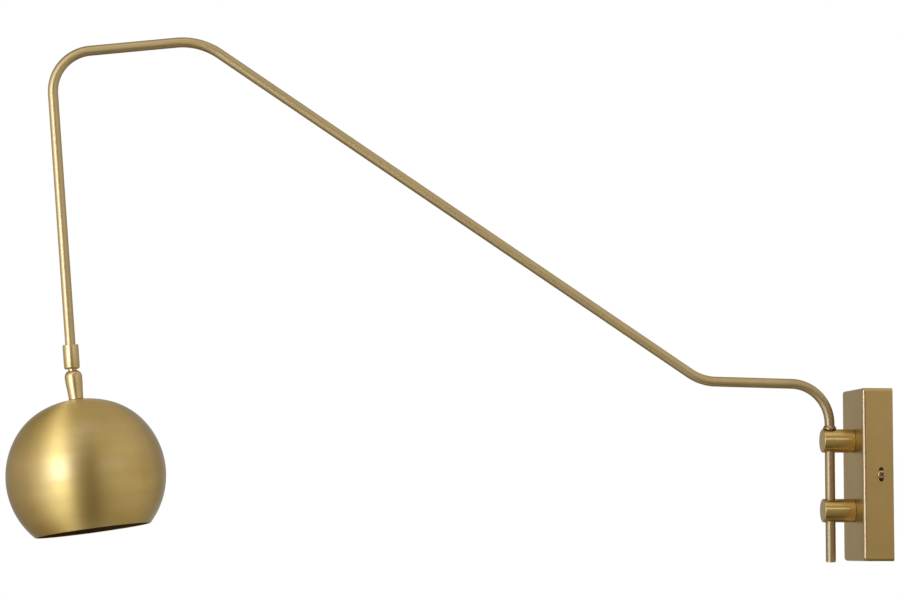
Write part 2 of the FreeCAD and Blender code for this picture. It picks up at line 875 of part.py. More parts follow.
def holder_base():
    """Insulating disc that carries the screw shell and the centre contact."""
    joint = holder_joint()
    disc = cylinder(base_disc_radius, base_disc_thickness, Vector(0, 0, joint - base_disc_thickness),
                    Vector(0, 0, 1))
    return on_shade(disc)


def screw_shell():
    """Thin sleeve that takes the bulb's cap."""
    top = holder_joint() - base_disc_thickness
    sleeve = turned([
        (screw_shell_radius, top),
        (screw_shell_radius, top - screw_shell_length),
        (screw_shell_radius - screw_shell_wall, top - screw_shell_length),
        (screw_shell_radius - screw_shell_wall, top),
    ])
    return on_shade(sleeve)


def centre_contact():
    """Sprung tongue under the insulating base that touches the bulb's tip."""
    top = holder_joint() - base_disc_thickness
    half = contact_width / 2
    bend = -contact_reach
    foot = box(
        Vector(bend, -half, top - contact_rise - contact_thickness),
        Vector(half, half, top - contact_rise),
    )
    leg = box(
        Vector(bend, -half, top - contact_rise),
        Vector(bend + contact_thickness, half, top),
    )
    return on_shade(foot.fuse(leg).removeSplitter())


def bulb_tip():
    """Height of the bulb's contact tip above the shade's centre."""
    return holder_joint() - base_disc_thickness - contact_rise - contact_thickness


def bulb_cap():
    """Metal cap of the bulb: a threaded sleeve, a cone and the contact tip."""
    tip = bulb_tip()
    shoulder = tip - bulb_tip_height
    foot = tip - bulb_tip_height - bulb_cap_length
    cap = turned([
        (0, tip),
        (bulb_tip_radius, tip),
        (bulb_tip_radius, tip - bulb_tip_straight),
        (bulb_cap_radius, shoulder),
        (bulb_cap_radius, foot),
        (bulb_cap_radius - bulb_cap_wall, foot),
        (bulb_cap_radius - bulb_cap_wall, shoulder - bulb_cap_wall),
        (0, shoulder - bulb_cap_wall),
    ])
    return on_shade(cap)


def globe_centre():
    """Height of the bulb's globe centre above the shade's centre."""
    return holder_joint() - holder_body_length - bulb_beyond_holder + globe_radius


def bulb_glass():
    """Frosted glass globe whose open neck sits in the cap."""
    centre = globe_centre()
    neck_end = bulb_tip() - bulb_tip_height - bulb_cap_length + globe_neck_length
    neck_inside = globe_neck_radius - globe_wall
    inside = globe_radius - globe_wall
    outer_angle = math.asin(globe_neck_radius / globe_radius)
    inner_angle = math.asin(neck_inside / inside)
    outer_meet = centre + globe_radius * math.cos(outer_angle)
    inner_meet = centre + inside * math.cos(inner_angle)
    edges = [
        line((neck_inside, neck_end), (globe_neck_radius, neck_end)),
        line((globe_neck_radius, neck_end), (globe_neck_radius, outer_meet)),
        arc((0, centre), globe_radius, outer_angle, math.pi),
        line((0, centre - globe_radius), (0, centre - inside)),
        arc((0, centre), inside, inner_angle, math.pi),
        line((neck_inside, inner_meet), (neck_inside, neck_end)),
    ]
    return on_shade(turned_edges(edges))


# Lead. It changes body on the swing axis and at the swivel's pivot, where its ends meet.


def lead_joint_height():
    """Height on the swing axis where the canopy's lead meets the arm's lead."""
    return upper_boss_height + lead_bend_radius + lead_straight_end


def canopy_lead():
    """Lead from the swing axis through the upper boss down to the terminal block."""
    block_x = bracket_front - block_depth / 2
    corners = [
        Vector(rod_x, 0, lead_joint_height()),
        Vector(rod_x, 0, upper_boss_height),
        Vector(block_x, 0, upper_boss_height),
        Vector(block_x, 0, block_top_height),
    ]
    return round_bar(rounded_path(corners, [lead_bend_radius, canopy_lead_bend_radius]), lead_radius)


def arm_lead():
    """Lead inside the arm tube, from the swing axis to the swivel's pivot."""
    corners = arm_corners()
    corners[0] = Vector(rod_x, 0, lead_joint_height())
    corners[-1] = along_drop(lead_radius + lead_gap)
    return round_bar(rounded_path(corners, arm_bends()), lead_radius)


def shade_lead():
    """Lead from the pivot through neck and nipple to the lamp holder's base, round at the pivot."""
    length = pivot_to_shade_centre - holder_joint()
    bar = cylinder(lead_radius, length, Vector(0, 0, holder_joint()), Vector(0, 0, 1))
    end = Part.makeSphere(lead_radius, Vector(0, 0, pivot_to_shade_centre))
    return on_shade(bar.fuse(end).removeSplitter())


nodes = {
    "canopy_cover": canopy_cover,
    "wall_bracket": wall_bracket,
    "canopy_side_screws": canopy_side_screws,
    "ground_screw": ground_screw,
    "terminal_block": terminal_block,
    "terminal_screws": terminal_screws,
    "arm_boss_upper": upper_boss,
    "arm_boss_lower": lower_boss,
    "boss_nipples": boss_nipples,
    "boss_washers": boss_washers,
    "boss_nuts": boss_nuts,
    "canopy_lead": canopy_lead,
    "arm_tube": arm_tube,
    "stop_collar": stop_collar,
    "rod_end_plug": rod_end_plug,
    "swivel_barrel": swivel_barrel,
    "swivel_ring": swivel_ring,
    "arm_lead": arm_lead,
    "swivel_seat": swivel_seat,
    "swivel_ball": swivel_ball,
    "shade_neck": shade_neck,
    "shade_shell": shade_shell,
    "shade_nipple": shade_nipple,
    "shade_washer": shade_washer,
    "shade_nut": shade_nut,
    "holder_cap": holder_cap,
    "holder_body": holder_body,
    "holder_base": holder_base,
    "screw_shell": screw_shell,
    "centre_contact": centre_contact,
    "bulb_cap": bulb_cap,
    "bulb_glass": bulb_glass,
    "shade_lead": shade_lead,
}

os.makedirs("parts", exist_ok=True)
for name, make in nodes.items():
    shape = make()
    shape.exportStep("parts/" + name + ".step")
    print(name, "solids", len(shape.Solids), "volume", round(shape.Volume), "valid", shape.isValid())

pivot = along_drop(0)
print("pivot", pivot, "drop direction", drop_direction(), "shade direction", shade_direction())
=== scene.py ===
# %% [markdown]
# # A hanging wall sconce in satin brass
#
# The light is a long bent tube that swings in two bosses on a box-shaped wall canopy, and a ball
# shade that hangs from the tube's end on a small ball swivel. The CAD model is loaded first and
# stays the frame: every piece below is made in metres in its coordinates and rides on one of its
# bodies. X points into the wall, the arm reaches out along -X, and Z is up.

# %% Load the frame
import json
import math

import bmesh
import bpy
from mathutils import Matrix, Vector


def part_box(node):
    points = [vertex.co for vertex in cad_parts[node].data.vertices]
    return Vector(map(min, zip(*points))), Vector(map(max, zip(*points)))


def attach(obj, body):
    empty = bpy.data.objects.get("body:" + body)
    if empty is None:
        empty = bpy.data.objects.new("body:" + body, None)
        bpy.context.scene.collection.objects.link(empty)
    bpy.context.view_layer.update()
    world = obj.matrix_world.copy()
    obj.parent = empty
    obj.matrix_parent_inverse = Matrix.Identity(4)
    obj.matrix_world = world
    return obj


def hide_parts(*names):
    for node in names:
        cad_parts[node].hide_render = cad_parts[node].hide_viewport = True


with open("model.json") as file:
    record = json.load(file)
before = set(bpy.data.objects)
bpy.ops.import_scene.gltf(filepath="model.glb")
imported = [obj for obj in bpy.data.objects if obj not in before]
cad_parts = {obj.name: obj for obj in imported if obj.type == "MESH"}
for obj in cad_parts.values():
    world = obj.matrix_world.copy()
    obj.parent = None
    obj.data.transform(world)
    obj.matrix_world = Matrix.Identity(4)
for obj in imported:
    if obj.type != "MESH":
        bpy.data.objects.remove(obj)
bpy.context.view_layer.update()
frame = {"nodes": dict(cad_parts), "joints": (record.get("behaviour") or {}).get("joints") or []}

# %% [markdown]
# ## Axes that everything is turned on
#
# Most of this light is lathe work, so nearly every piece has an axis. There are three of them:
# the rod's axis, which the arm swings about, the drop tube's axis, and the shade's axis. The
# first two are joint axes of the CAD model. The third runs from the swivel's pivot through the
# lamp holder.

# %% Read the axes from the frame
MM = 0.001
joints = {joint["name"]: joint for joint in frame["joints"]}
rod_x = joints["arm_swing"]["pos_m"][0]
pivot = Vector(joints["shade_turn"]["pos_m"])
drop_up = -Vector(joints["shade_turn"]["axis"])


def middle_of(node):
    """Mean of a node's corner points, which lies on its axis when the node is a turned piece."""
    points = [vertex.co for vertex in frame["nodes"][node].data.vertices]
    return sum(points, Vector()) / len(points)


shade_up = (pivot - middle_of("holder_body")).normalized()
up_z = Vector((0, 0, 1))
towards_room = Vector((-1, 0, 0))
towards_wall = Vector((1, 0, 0))


def on_axis(origin, up):
    """Placement that sets a piece made on local Z on a direction through a point."""
    turn = up_z.rotation_difference(up).to_matrix().to_4x4()
    return Matrix.Translation(origin) @ turn


def wallward(x, y, z):
    """Placement at a point in mm whose local Z runs towards the wall."""
    return on_axis(Vector((x, y, z)) * MM, towards_wall)


shade_centre_below = 109.5
crown_below = 34.5
shade_centre = pivot - shade_up * shade_centre_below * MM
print("rod at x", rod_x, "pivot", tuple(pivot), "shade axis", tuple(shade_up))

# %% [markdown]
# ## Camera
#
# The photograph is taken from a little below the shade and from the room's side, with a long
# lens. The canopy's front and side, the height of the ball's mouth and the lean of the tubes fix
# the place.

# %% Set the camera
view_azimuth = math.radians(-7.82)
view_elevation = math.radians(-4.66)
view_direction = -Vector((
    math.sin(view_azimuth) * math.cos(view_elevation),
    -math.cos(view_azimuth) * math.cos(view_elevation),
    math.sin(view_elevation),
))
camera_data = bpy.data.cameras.new("camera")
camera_data.sensor_width = 36
camera_data.lens = 120
camera = bpy.data.objects.new("camera", camera_data)
camera.location = (-0.8436, -2.9382, -0.0695)
camera.rotation_euler = view_direction.to_track_quat("-Z", "Y").to_euler()
bpy.context.scene.collection.objects.link(camera)
bpy.context.scene.camera = camera
bpy.context.scene.view_settings.view_transform = "Standard"
print("camera at", tuple(camera.location))

# %% [markdown]
# ## Studio
#
# Satin metal shows its surroundings, so the surroundings are made as a photographer sets them up:
# light walls at the left, a weaker reflector on the right, a dim gap where the camera stands, a
# soft light from above and a dark floor. They are painted on the world by direction, in five
# bands one above the other. The darkest parts are a little warm, as in any room with a wooden
# floor. Camera rays see plain white, and metal and glass see a pale backdrop behind the object.
#
# Most of these levels come from a calculation on the photograph. Each one was rendered alone, and
# a least-squares fit found how much of each makes the brass as bright as it is at 1194 points of
# the photograph. Of the 39 levels, 26 are rounded results of that fit, and 13 were changed
# afterwards, after a look at the renders. They hold for the photograph's angle, and the light
# from other sides is a guess.

# %% Build the node helpers
def give(tree, node, **values):
    """Set a node's properties and inputs; another node's output is linked to its input."""
    for name, value in values.items():
        label = name.replace("_", " ")
        if hasattr(node, name):
            setattr(node, name, value)
        elif isinstance(value, bpy.types.NodeSocket):
            tree.links.new(value, node.inputs[label])
        else:
            node.inputs[label].default_value = value
    return node


def add(tree, kind, **values):
    """New node with its properties and inputs set."""
    return give(tree, tree.nodes.new(kind), **values)


def feed(tree, node, *terms):
    """Fill a node's inputs in order with numbers and outputs; gives its first output."""
    for socket, term in zip(node.inputs, terms):
        if isinstance(term, bpy.types.NodeSocket):
            tree.links.new(term, socket)
        else:
            socket.default_value = term
    return node.outputs[0]


def math_node(tree, operation, *terms):
    """Result of a calculation with numbers and outputs."""
    return feed(tree, add(tree, "ShaderNodeMath", operation=operation), *terms)


def ramp(tree, factor, stops):
    """Colour ramp through (position, level) stops."""
    node = add(tree, "ShaderNodeValToRGB", Fac=factor)
    elements = node.color_ramp.elements
    while len(elements) < len(stops):
        elements.new(1.0)
    for element, (position, level) in zip(elements, stops):
        element.position = position
        colour = level if isinstance(level, tuple) else (level, level, level)
        element.color = (*colour, 1)
    return node.outputs[0]


print("helpers ready")

# %% Paint the studio on the world
world = bpy.data.worlds.new("studio")
bpy.context.scene.world = world
world.use_nodes = True
tree = world.node_tree
tree.nodes.clear()
direction = add(tree, "ShaderNodeTexCoord").outputs["Generated"]


def along(vector):
    """Length of the world direction along a vector."""
    node = add(tree, "ShaderNodeVectorMath", operation="DOT_PRODUCT")
    feed(tree, node, direction, vector)
    return node.outputs["Value"]


to_camera = Vector((-view_direction.x, -view_direction.y, 0)).normalized()
to_right = Vector((-to_camera.y, to_camera.x, 0))
azimuth = math_node(tree, "ARCTAN2", along(to_right), along(to_camera))
turn_share = math_node(tree, "MULTIPLY_ADD", azimuth, 1 / math.tau, 0.5)
height = math_node(tree, "ARCSINE", along(up_z))
height_share = math_node(tree, "MULTIPLY_ADD", height, 1 / math.pi, 0.5)


def share_of_turn(degrees):
    """Place of a direction on the round ramp; 0 is towards the camera, minus is its left."""
    return degrees / 360 + 0.5


def share_of_height(degrees):
    """Place of an elevation on the upright ramp."""
    return degrees / 180 + 0.5


band_levels = {
    -65: [(-135, 0.04), (-45, 0.04), (45, 0.04), (135, 0.04)],
    -25: [(-150, 0.15), (-90, 0.47), (-50, 1.58), (-15, 0.24), (15, 0.12), (45, 0.44),
          (90, 0.62), (140, 0.29)],
    8: [(-155, 0.29), (-115, 0.47), (-90, 0.68), (-68, 1.05), (-50, 0.90), (-32, 0.20),
        (-12, 0.60), (2, 0.02), (14, 0.02), (26, 0.48), (38, 0.60), (55, 0.62), (80, 0.49),
        (110, 0.46), (145, 0.25)],
    38: [(-150, 0.04), (-90, 0.32), (-50, 0.93), (-15, 1.30), (15, 0.17), (45, 0.44),
         (90, 0.89), (140, 0.43)],
    75: [(-90, 0.04), (0, 1.34), (90, 0.41), (180, 0.38)],
}
brightest = max(level for levels in band_levels.values() for turn, level in levels)


def round_stops(levels):
    """Stops of one band, carried over the joint of the ramp behind the object."""
    first, last = levels[0], levels[-1]
    gap = first[0] + 360 - last[0]
    behind_level = last[1] + (first[1] - last[1]) * (180 - last[0]) / gap
    full = [(-180, behind_level)] + levels + [(180, behind_level)]
    return [(share_of_turn(turn), level / brightest) for turn, level in full]


rises = sorted(band_levels)
studio_level = 0.0
for index, rise in enumerate(rises):
    stops = [(share_of_height(rise), 1.0)]
    if index > 0:
        stops.insert(0, (share_of_height(rises[index - 1]), 0.0))
    if index < len(rises) - 1:
        stops.append((share_of_height(rises[index + 1]), 0.0))
    around = ramp(tree, turn_share, round_stops(band_levels[rise]))
    upright = ramp(tree, height_share, stops)
    studio_level = math_node(tree, "MULTIPLY_ADD", around, upright, studio_level)

room_tones = [(0.0, 0.0), (0.12, (0.14, 0.12, 0.085)), (0.4, (0.42, 0.4, 0.35)), (1.0, 1.0)]
room_light = ramp(tree, studio_level, room_tones)
studio_light = add(tree, "ShaderNodeBackground", Color=room_light, Strength=brightest)
white = add(tree, "ShaderNodeBackground", Color=(1, 1, 1, 1), Strength=1.0)
pale = add(tree, "ShaderNodeBackground", Color=(1, 1, 1, 1), Strength=0.37)
light_path = add(tree, "ShaderNodeLightPath")
glossy_ray = light_path.outputs["Is Glossy Ray"]
glass_ray = light_path.outputs["Is Transmission Ray"]
reflected = math_node(tree, "MAXIMUM", glossy_ray, glass_ray)
half_turns = math_node(tree, "ABSOLUTE", math_node(tree, "DIVIDE", azimuth, math.pi))
behind = ramp(tree, half_turns, [(0.80, 0.0), (0.92, 1.0)])
paper_levels = [(-30, 0.0), (-12, 1.0), (20, 1.0), (40, 0.0)]
paper_stops = [(share_of_height(angle), level) for angle, level in paper_levels]
paper = math_node(tree, "MULTIPLY", behind, ramp(tree, height_share, paper_stops))
shows_backdrop = math_node(tree, "MULTIPLY", reflected, paper)
with_backdrop = feed(
    tree, add(tree, "ShaderNodeMixShader"),
    shows_backdrop, studio_light.outputs[0], pale.outputs[0],
)
seen = feed(
    tree, add(tree, "ShaderNodeMixShader"),
    light_path.outputs["Is Camera Ray"], with_backdrop, white.outputs[0],
)
add(tree, "ShaderNodeOutputWorld", Surface=seen)
print("world with", len(band_levels), "bands of levels round the object")

# %% [markdown]
# ## Softboxes
#
# A large softbox stands two metres off at the front left. Its cloth is brighter towards the
# middle, so it is made of three panels: the whole cloth, a brighter middle and a small hot core.
# A strip stands at the front right. They stand at a real distance, so the canopy sees them from
# another side than the shade does, as in the photograph. Their light is slightly cooler than the
# room's.

# %% Place the softboxes
lamp_tone = (0.90, 1.0, 1.22)


def softbox(name, turn_degrees, rise_degrees, distance, width, height, radiance, grid=180):
    """Area lamp at a turn from the camera and a rise, seen from the shade's middle and facing it.

    A grid under 180 degrees narrows the lamp, which keeps its radiance straight ahead.
    """
    turn, rise = math.radians(turn_degrees), math.radians(rise_degrees)
    level = to_camera * math.cos(turn) + to_right * math.sin(turn)
    outward = level * math.cos(rise) + up_z * math.sin(rise)
    lamp = bpy.data.lights.new(name, "AREA")
    lamp.shape = "RECTANGLE"
    lamp.size = width
    lamp.size_y = height
    lamp.energy = 4 * width * height * radiance
    if grid < 180:
        lamp.spread = math.radians(grid)
        lamp.energy *= 1 - lamp.spread / 2 / math.tan(lamp.spread / 2)
    lamp.color = lamp_tone
    stand = bpy.data.objects.new(name, lamp)
    stand.location = shade_centre + outward * distance
    stand.rotation_euler = outward.to_track_quat("Z", "Y").to_euler()
    stand.visible_camera = False
    bpy.context.scene.collection.objects.link(stand)
    print(name, "at", [round(value, 2) for value in stand.location])


softbox("key_softbox", -35, 7, 2.06, 1.80, 1.30, 1.75, 80)
softbox("key_middle", -32, 7, 2.04, 1.05, 1.05, 0.60, 80)
softbox("key_core", -31, 7, 2.02, 0.85, 0.74, 3.60, 80)
softbox("right_strip", 42, 17, 2.30, 1.60, 0.22, 1.05)

# %% [markdown]
# ## Floor
#
# The light hangs on a wall, so the floor is far below it: a plain pale disc, out of the main
# view. It is small, so that the undersides show the dark room beyond it, as they do in the
# photograph. The camera sees it nearly as white as the backdrop, and it keeps the light's shadow.

# %% Lay the floor
def material_with_shader(name, **values):
    """New material, its tree and its shader, with values on the shader's own inputs."""
    material = bpy.data.materials.new(name)
    material.use_nodes = True
    tree = material.node_tree
    return material, tree, give(tree, tree.nodes["Principled BSDF"], **values)


floor_mesh = bpy.data.meshes.new("floor")
floor_bm = bmesh.new()
bmesh.ops.create_circle(floor_bm, cap_ends=True, segments=96, radius=0.85)
floor_bm.to_mesh(floor_mesh)
floor_bm.free()
floor = bpy.data.objects.new("floor", floor_mesh)
floor.location = (-0.4, 0, -2.1)
bpy.context.scene.collection.objects.link(floor)
floor_material, floor_tree, floor_shader = material_with_shader(
    "floor_paint", Base_Color=(0.90, 0.90, 0.89, 1), Roughness=0.9, Emission_Color=(1, 1, 1, 1)
)
for_camera = add(floor_tree, "ShaderNodeLightPath").outputs["Is Camera Ray"]
whiter = math_node(floor_tree, "MULTIPLY", for_camera, 0.45)
give(floor_tree, floor_shader, Emission_Strength=whiter)
floor_mesh.materials.append(floor_material)
print("floor at z", floor.location.z)

# %% [markdown]
# ## Surface effects as node groups
#
# A brushed surface is made of fine lines in one direction. On turned pieces and on the
# belt-polished tube they run round the axis, and on the folded canopy they run straight up. Each
# group gives a height for the bump and a broad streak for colour and roughness. Lacquered brass
# also has a slow drift in tone, and everything that is handled has a few dull spots.

# %% Make the groups
def new_group(name, setting, default, *outputs):
    """Empty shader group with one float setting and named float outputs."""
    tree = bpy.data.node_groups.new(name, "ShaderNodeTree")
    sides = [(setting, "INPUT")] + [(label, "OUTPUT") for label in outputs]
    sockets = [
        tree.interface.new_socket(name=label, in_out=side, socket_type="NodeSocketFloat")
        for label, side in sides
    ]
    sockets[0].default_value = default
    start = tree.nodes.new("NodeGroupInput")
    return tree, start.outputs[setting], tree.nodes.new("NodeGroupOutput")


def noise(tree, vector, scale=1.0, detail=2.0, roughness=0.5):
    """Noise level at a vector."""
    node = add(
        tree, "ShaderNodeTexNoise", Vector=vector, Scale=scale, Detail=detail, Roughness=roughness
    )
    return node.outputs["Fac"]


def combine(tree, x, y, z):
    """Vector from three outputs."""
    return feed(tree, add(tree, "ShaderNodeCombineXYZ"), x, y, z)


def axes_of(tree, coordinate):
    """The three parts of a texture coordinate."""
    place = add(tree, "ShaderNodeTexCoord").outputs[coordinate]
    return add(tree, "ShaderNodeSeparateXYZ", Vector=place).outputs


def brush_outputs(tree, end, fine, broad):
    """Finish a brush group: fine lines as the height, broad ones as the streak."""
    height = noise(tree, fine, detail=3.0, roughness=0.6)
    give(tree, end, Height=height, Streak=noise(tree, broad))


def make_round_brush():
    """Lines that run round local Z, for turned and spun pieces."""
    tree, lines, end = new_group("brushed_round", "Lines per m", 600.0, "Height", "Streak")
    x, y, z = axes_of(tree, "Object")
    x_square = math_node(tree, "MULTIPLY", x, x)
    y_square = math_node(tree, "MULTIPLY", y, y)
    radius = math_node(tree, "SQRT", math_node(tree, "ADD", x_square, y_square))
    east = math_node(tree, "DIVIDE", x, radius)
    north = math_node(tree, "DIVIDE", y, radius)
    out_lines = math_node(tree, "MULTIPLY_ADD", radius, lines, east)
    up_lines = math_node(tree, "MULTIPLY", z, lines)
    wide_out = math_node(tree, "MULTIPLY", out_lines, 0.22)
    wide_up = math_node(tree, "MULTIPLY", up_lines, 0.22)
    fine = combine(tree, out_lines, north, up_lines)
    brush_outputs(tree, end, fine, combine(tree, wide_out, north, wide_up))
    return tree


def make_tube_brush():
    """Lines that run round a bent tube, whose map has the turn across and metres along."""
    tree, lines, end = new_group("brushed_tube", "Lines per m", 1100.0, "Height", "Streak")
    around, metres = axes_of(tree, "UV")[:2]
    turn = math_node(tree, "MULTIPLY", around, math.tau)
    east = math_node(tree, "COSINE", turn)
    north = math_node(tree, "SINE", turn)
    along_lines = math_node(tree, "MULTIPLY", metres, lines)
    wide_along = math_node(tree, "MULTIPLY", along_lines, 0.2)
    fine = combine(tree, east, north, along_lines)
    brush_outputs(tree, end, fine, combine(tree, east, north, wide_along))
    return tree


def make_upright_brush():
    """Lines that run along local Z, for the canopy's sheet."""
    tree, lines, end = new_group("brushed_upright", "Lines per m", 700.0, "Height", "Streak")
    x, y, z = axes_of(tree, "Object")
    across = math_node(tree, "MULTIPLY", y, lines)
    deep = math_node(tree, "MULTIPLY", x, lines)
    wide_deep = math_node(tree, "MULTIPLY", deep, 0.2)
    wide_across = math_node(tree, "MULTIPLY", across, 0.2)
    fine = combine(tree, deep, across, math_node(tree, "MULTIPLY", z, 22.0))
    broad = combine(tree, wide_deep, wide_across, math_node(tree, "MULTIPLY", z, 9.0))
    brush_outputs(tree, end, fine, broad)
    return tree


def make_drift():
    """Slow drift in tone, and small dull spots where a surface has been handled."""
    tree, patches, end = new_group("drift_and_spots", "Patch per m", 22.0, "Drift", "Spots")
    place = add(tree, "ShaderNodeTexCoord").outputs["Object"]
    small = noise(tree, place, 240.0)
    spots = add(tree, "ShaderNodeMapRange", Value=small, From_Min=0.66, From_Max=0.78)
    give(tree, end, Drift=noise(tree, place, patches, 3.0, 0.55), Spots=spots.outputs[0])
    return tree


def make_grain():
    """Fine moulded or cast grain."""
    tree, grains, end = new_group("moulded_grain", "Grains per m", 2500.0, "Height", "Patch")
    place = add(tree, "ShaderNodeTexCoord").outputs["Object"]
    cells = add(tree, "ShaderNodeTexVoronoi", feature="SMOOTH_F1", Vector=place, Scale=grains)
    give(tree, end, Height=cells.outputs["Distance"], Patch=noise(tree, place, 60.0, 3.0))
    return tree


def make_plating():
    """Soft clouds of a zinc or nickel plating."""
    tree, clouds, end = new_group("plated_clouds", "Cloud per m", 90.0, "Cloud", "Pits")
    place = add(tree, "ShaderNodeTexCoord").outputs["Object"]
    pits = noise(tree, place, 1400.0, 1.0)
    give(tree, end, Cloud=noise(tree, place, clouds, 4.0, 0.6), Pits=pits)
    return tree


round_brush = make_round_brush()
tube_brush = make_tube_brush()
upright_brush = make_upright_brush()
drift_group = make_drift()
grain_group = make_grain()
plating_group = make_plating()
print("groups", [tree.name for tree in bpy.data.node_groups])

# %% [markdown]
# ## Materials
#
# The brass is satin-brushed and then lacquered. The metal gives the colour, the brushing spreads
# the reflections across the lines, and the thin lacquer adds the whiter shine on top. Two brushed
# surfaces facing each other show each other only dimly, so where a piece is seen in another one,
# painted shade makes its colour darker there and its roughness is raised. The rod that turns in
# the
# bosses has painted shade too: its colour is darker than the rest of the tube's. Values that are
# the same all over are set on the shader itself. The canopy's sheet has a painted highlight, a
# paler cream colour along its rounded front edges, and the stop collar is browner than the pieces
# beside it.

# %% Build the materials
def use_group(tree, group_tree, **values):
    """Group node in a material."""
    return add(tree, "ShaderNodeGroup", node_tree=group_tree, **values)


def mix_colours(tree, factor, first, second):
    """Colour between two colours; the first may be another node's output."""
    node = add(tree, "ShaderNodeMix", data_type="RGBA", Factor=factor)
    for socket, term in ((node.inputs[6], first), (node.inputs[7], second)):
        if isinstance(term, tuple):
            socket.default_value = (*term, 1)
        else:
            tree.links.new(term, socket)
    return node.outputs[2]


def spread(tree, value, low, high):
    """A noise level, mostly between 0.3 and 0.7, moved to between two levels."""
    node = add(
        tree, "ShaderNodeMapRange", Value=value, From_Min=0.3, From_Max=0.7, To_Min=low,
        To_Max=high,
    )
    return node.outputs[0]


def bump(tree, shader, height, strength, distance):
    """Bump on a shader from a height."""
    node = add(tree, "ShaderNodeBump", Strength=strength, Distance=distance, Height=height)
    give(tree, shader, Normal=node.outputs[0])


def brushed_brass(name, brush, light, dark, smooth, rough, anisotropic, lines_per_m,
                  coat=2.0, coat_rough=0.3, relief=0.03, edge_tint=(1.0, 0.96, 0.86, 1),
                  fade=0.35, blur=0.2):
    """Lacquered brushed brass; where another piece mirrors it, fade paints shade and blur dulls
    it.
    """
    material, tree, shader = material_with_shader(
        name, Metallic=1.0, Anisotropic=anisotropic, Anisotropic_Rotation=0.25,
        Coat_Weight=1.0, Coat_IOR=coat, Coat_Roughness=coat_rough, Specular_Tint=edge_tint,
    )
    lines = use_group(tree, brush, Lines_per_m=lines_per_m)
    drift = use_group(tree, drift_group)
    streak = lines.outputs["Streak"]
    brushed = mix_colours(tree, spread(tree, streak, 0.0, 1.0), light, dark)
    deeper = tuple(level * 0.86 for level in dark)
    drifted = mix_colours(tree, spread(tree, drift.outputs["Drift"], 0.0, 0.55), brushed, deeper)
    # Painted shade: seen in another piece's reflection, the colour is mixed towards near black.
    mirrored = add(tree, "ShaderNodeLightPath").outputs["Is Glossy Ray"]
    reflection_shade_share = math_node(tree, "MULTIPLY", mirrored, fade)
    shaded_in_reflection = mix_colours(tree, reflection_shade_share, drifted, (0.06, 0.04, 0.015))
    base_rough = spread(tree, streak, smooth, rough)
    dull = math_node(tree, "MULTIPLY_ADD", drift.outputs["Spots"], 0.02, base_rough)
    blurred = math_node(tree, "MULTIPLY_ADD", mirrored, blur, dull)
    give(tree, shader, Base_Color=shaded_in_reflection, Roughness=blurred)
    if relief:
        bump(tree, shader, lines.outputs["Height"], relief, 0.00002)
    return material


def tint_where(tree, mask, colour):
    """Mix another colour into a finished material where a mask is 1."""
    base = tree.nodes["Principled BSDF"].inputs["Base Color"]
    tree.links.new(mix_colours(tree, mask, base.links[0].from_socket, colour), base)


spun_brass = brushed_brass(
    "spun_brass", round_brush, (0.80, 0.58, 0.19), (0.755, 0.535, 0.17), 0.46, 0.5, 0.92, 420.0,
    coat=1.62, coat_rough=0.27,
)
turned_brass = brushed_brass(
    "turned_brass", round_brush, (0.76, 0.535, 0.18), (0.74, 0.515, 0.17), 0.24, 0.26, 0.3,
    1400.0, coat=1.45, coat_rough=0.15, relief=0.006, fade=0.5,
)
neck_brass = brushed_brass(
    "neck_brass", round_brush, (0.74, 0.53, 0.235), (0.71, 0.505, 0.22), 0.38, 0.40, 0.4,
    1400.0, coat=1.6, coat_rough=0.3, relief=0.004,
)
collar_brass = brushed_brass(
    "collar_brass", round_brush, (0.50, 0.34, 0.19), (0.46, 0.31, 0.17), 0.38, 0.40, 0.4,
    1400.0, coat=1.5, coat_rough=0.3, relief=0.004,
)
tube_brass = brushed_brass(
    "tube_brass", tube_brush, (0.64, 0.475, 0.215), (0.61, 0.45, 0.20), 0.48, 0.49, 0.3,
    1100.0, coat=1.7, coat_rough=0.38, relief=0,
)
tube_tree = tube_brass.node_tree
round_tube = add(tube_tree, "ShaderNodeTangent", direction_type="UV_MAP").outputs[0]
give(tube_tree, tube_tree.nodes["Principled BSDF"], Tangent=round_tube)
# Painted shade: the rod's colour is mixed darker up to 0.14 m along the tube, fading out by 0.22
# m.
rod_end, tube_start = 0.14, 0.22
metres_along = axes_of(tube_tree, "UV")[1]
rod_painted_shade = ramp(tube_tree, metres_along, [(rod_end, 0.8), (tube_start, 0.0)])
tint_where(tube_tree, rod_painted_shade, (0.33, 0.225, 0.092))

sheet_brass = brushed_brass(
    "sheet_brass", upright_brush, (0.72, 0.50, 0.19), (0.70, 0.48, 0.18), 0.35, 0.37, 0.0,
    700.0, coat=1.3, coat_rough=0.25, relief=0.008, edge_tint=(0.96, 0.96, 0.79, 1),
    fade=0.25, blur=0.45,
)
sheet_tree = sheet_brass.node_tree
# Painted highlight: a paler cream colour on the rounded edges between the front and the sides.
to_front, to_side = axes_of(sheet_tree, "Normal")[:2]
turning = math_node(sheet_tree, "MULTIPLY", to_front, to_side)
corner_share = math_node(sheet_tree, "ABSOLUTE", turning)
painted_edge_highlight = ramp(sheet_tree, corner_share, [(0.12, 0.0), (0.34, 1.0)])
tint_where(sheet_tree, painted_edge_highlight, (0.42, 0.31, 0.185))

# Painted shade: the inside of the ball shade gets a darker brass colour, and a duller finish.
inside_brass_painted_shade = brushed_brass(
    "inside_brass_painted_shade", round_brush, (0.62, 0.42, 0.15), (0.54, 0.35, 0.12), 0.5, 0.6, 0.3, 420.0,
)


def vary(tree, shader, level, light, dark, smooth, rough):
    """Let a noise level change a shader's colour and roughness together."""
    colour = mix_colours(tree, spread(tree, level, 0.0, 1.0), light, dark)
    give(tree, shader, Base_Color=colour, Roughness=spread(tree, level, smooth, rough))


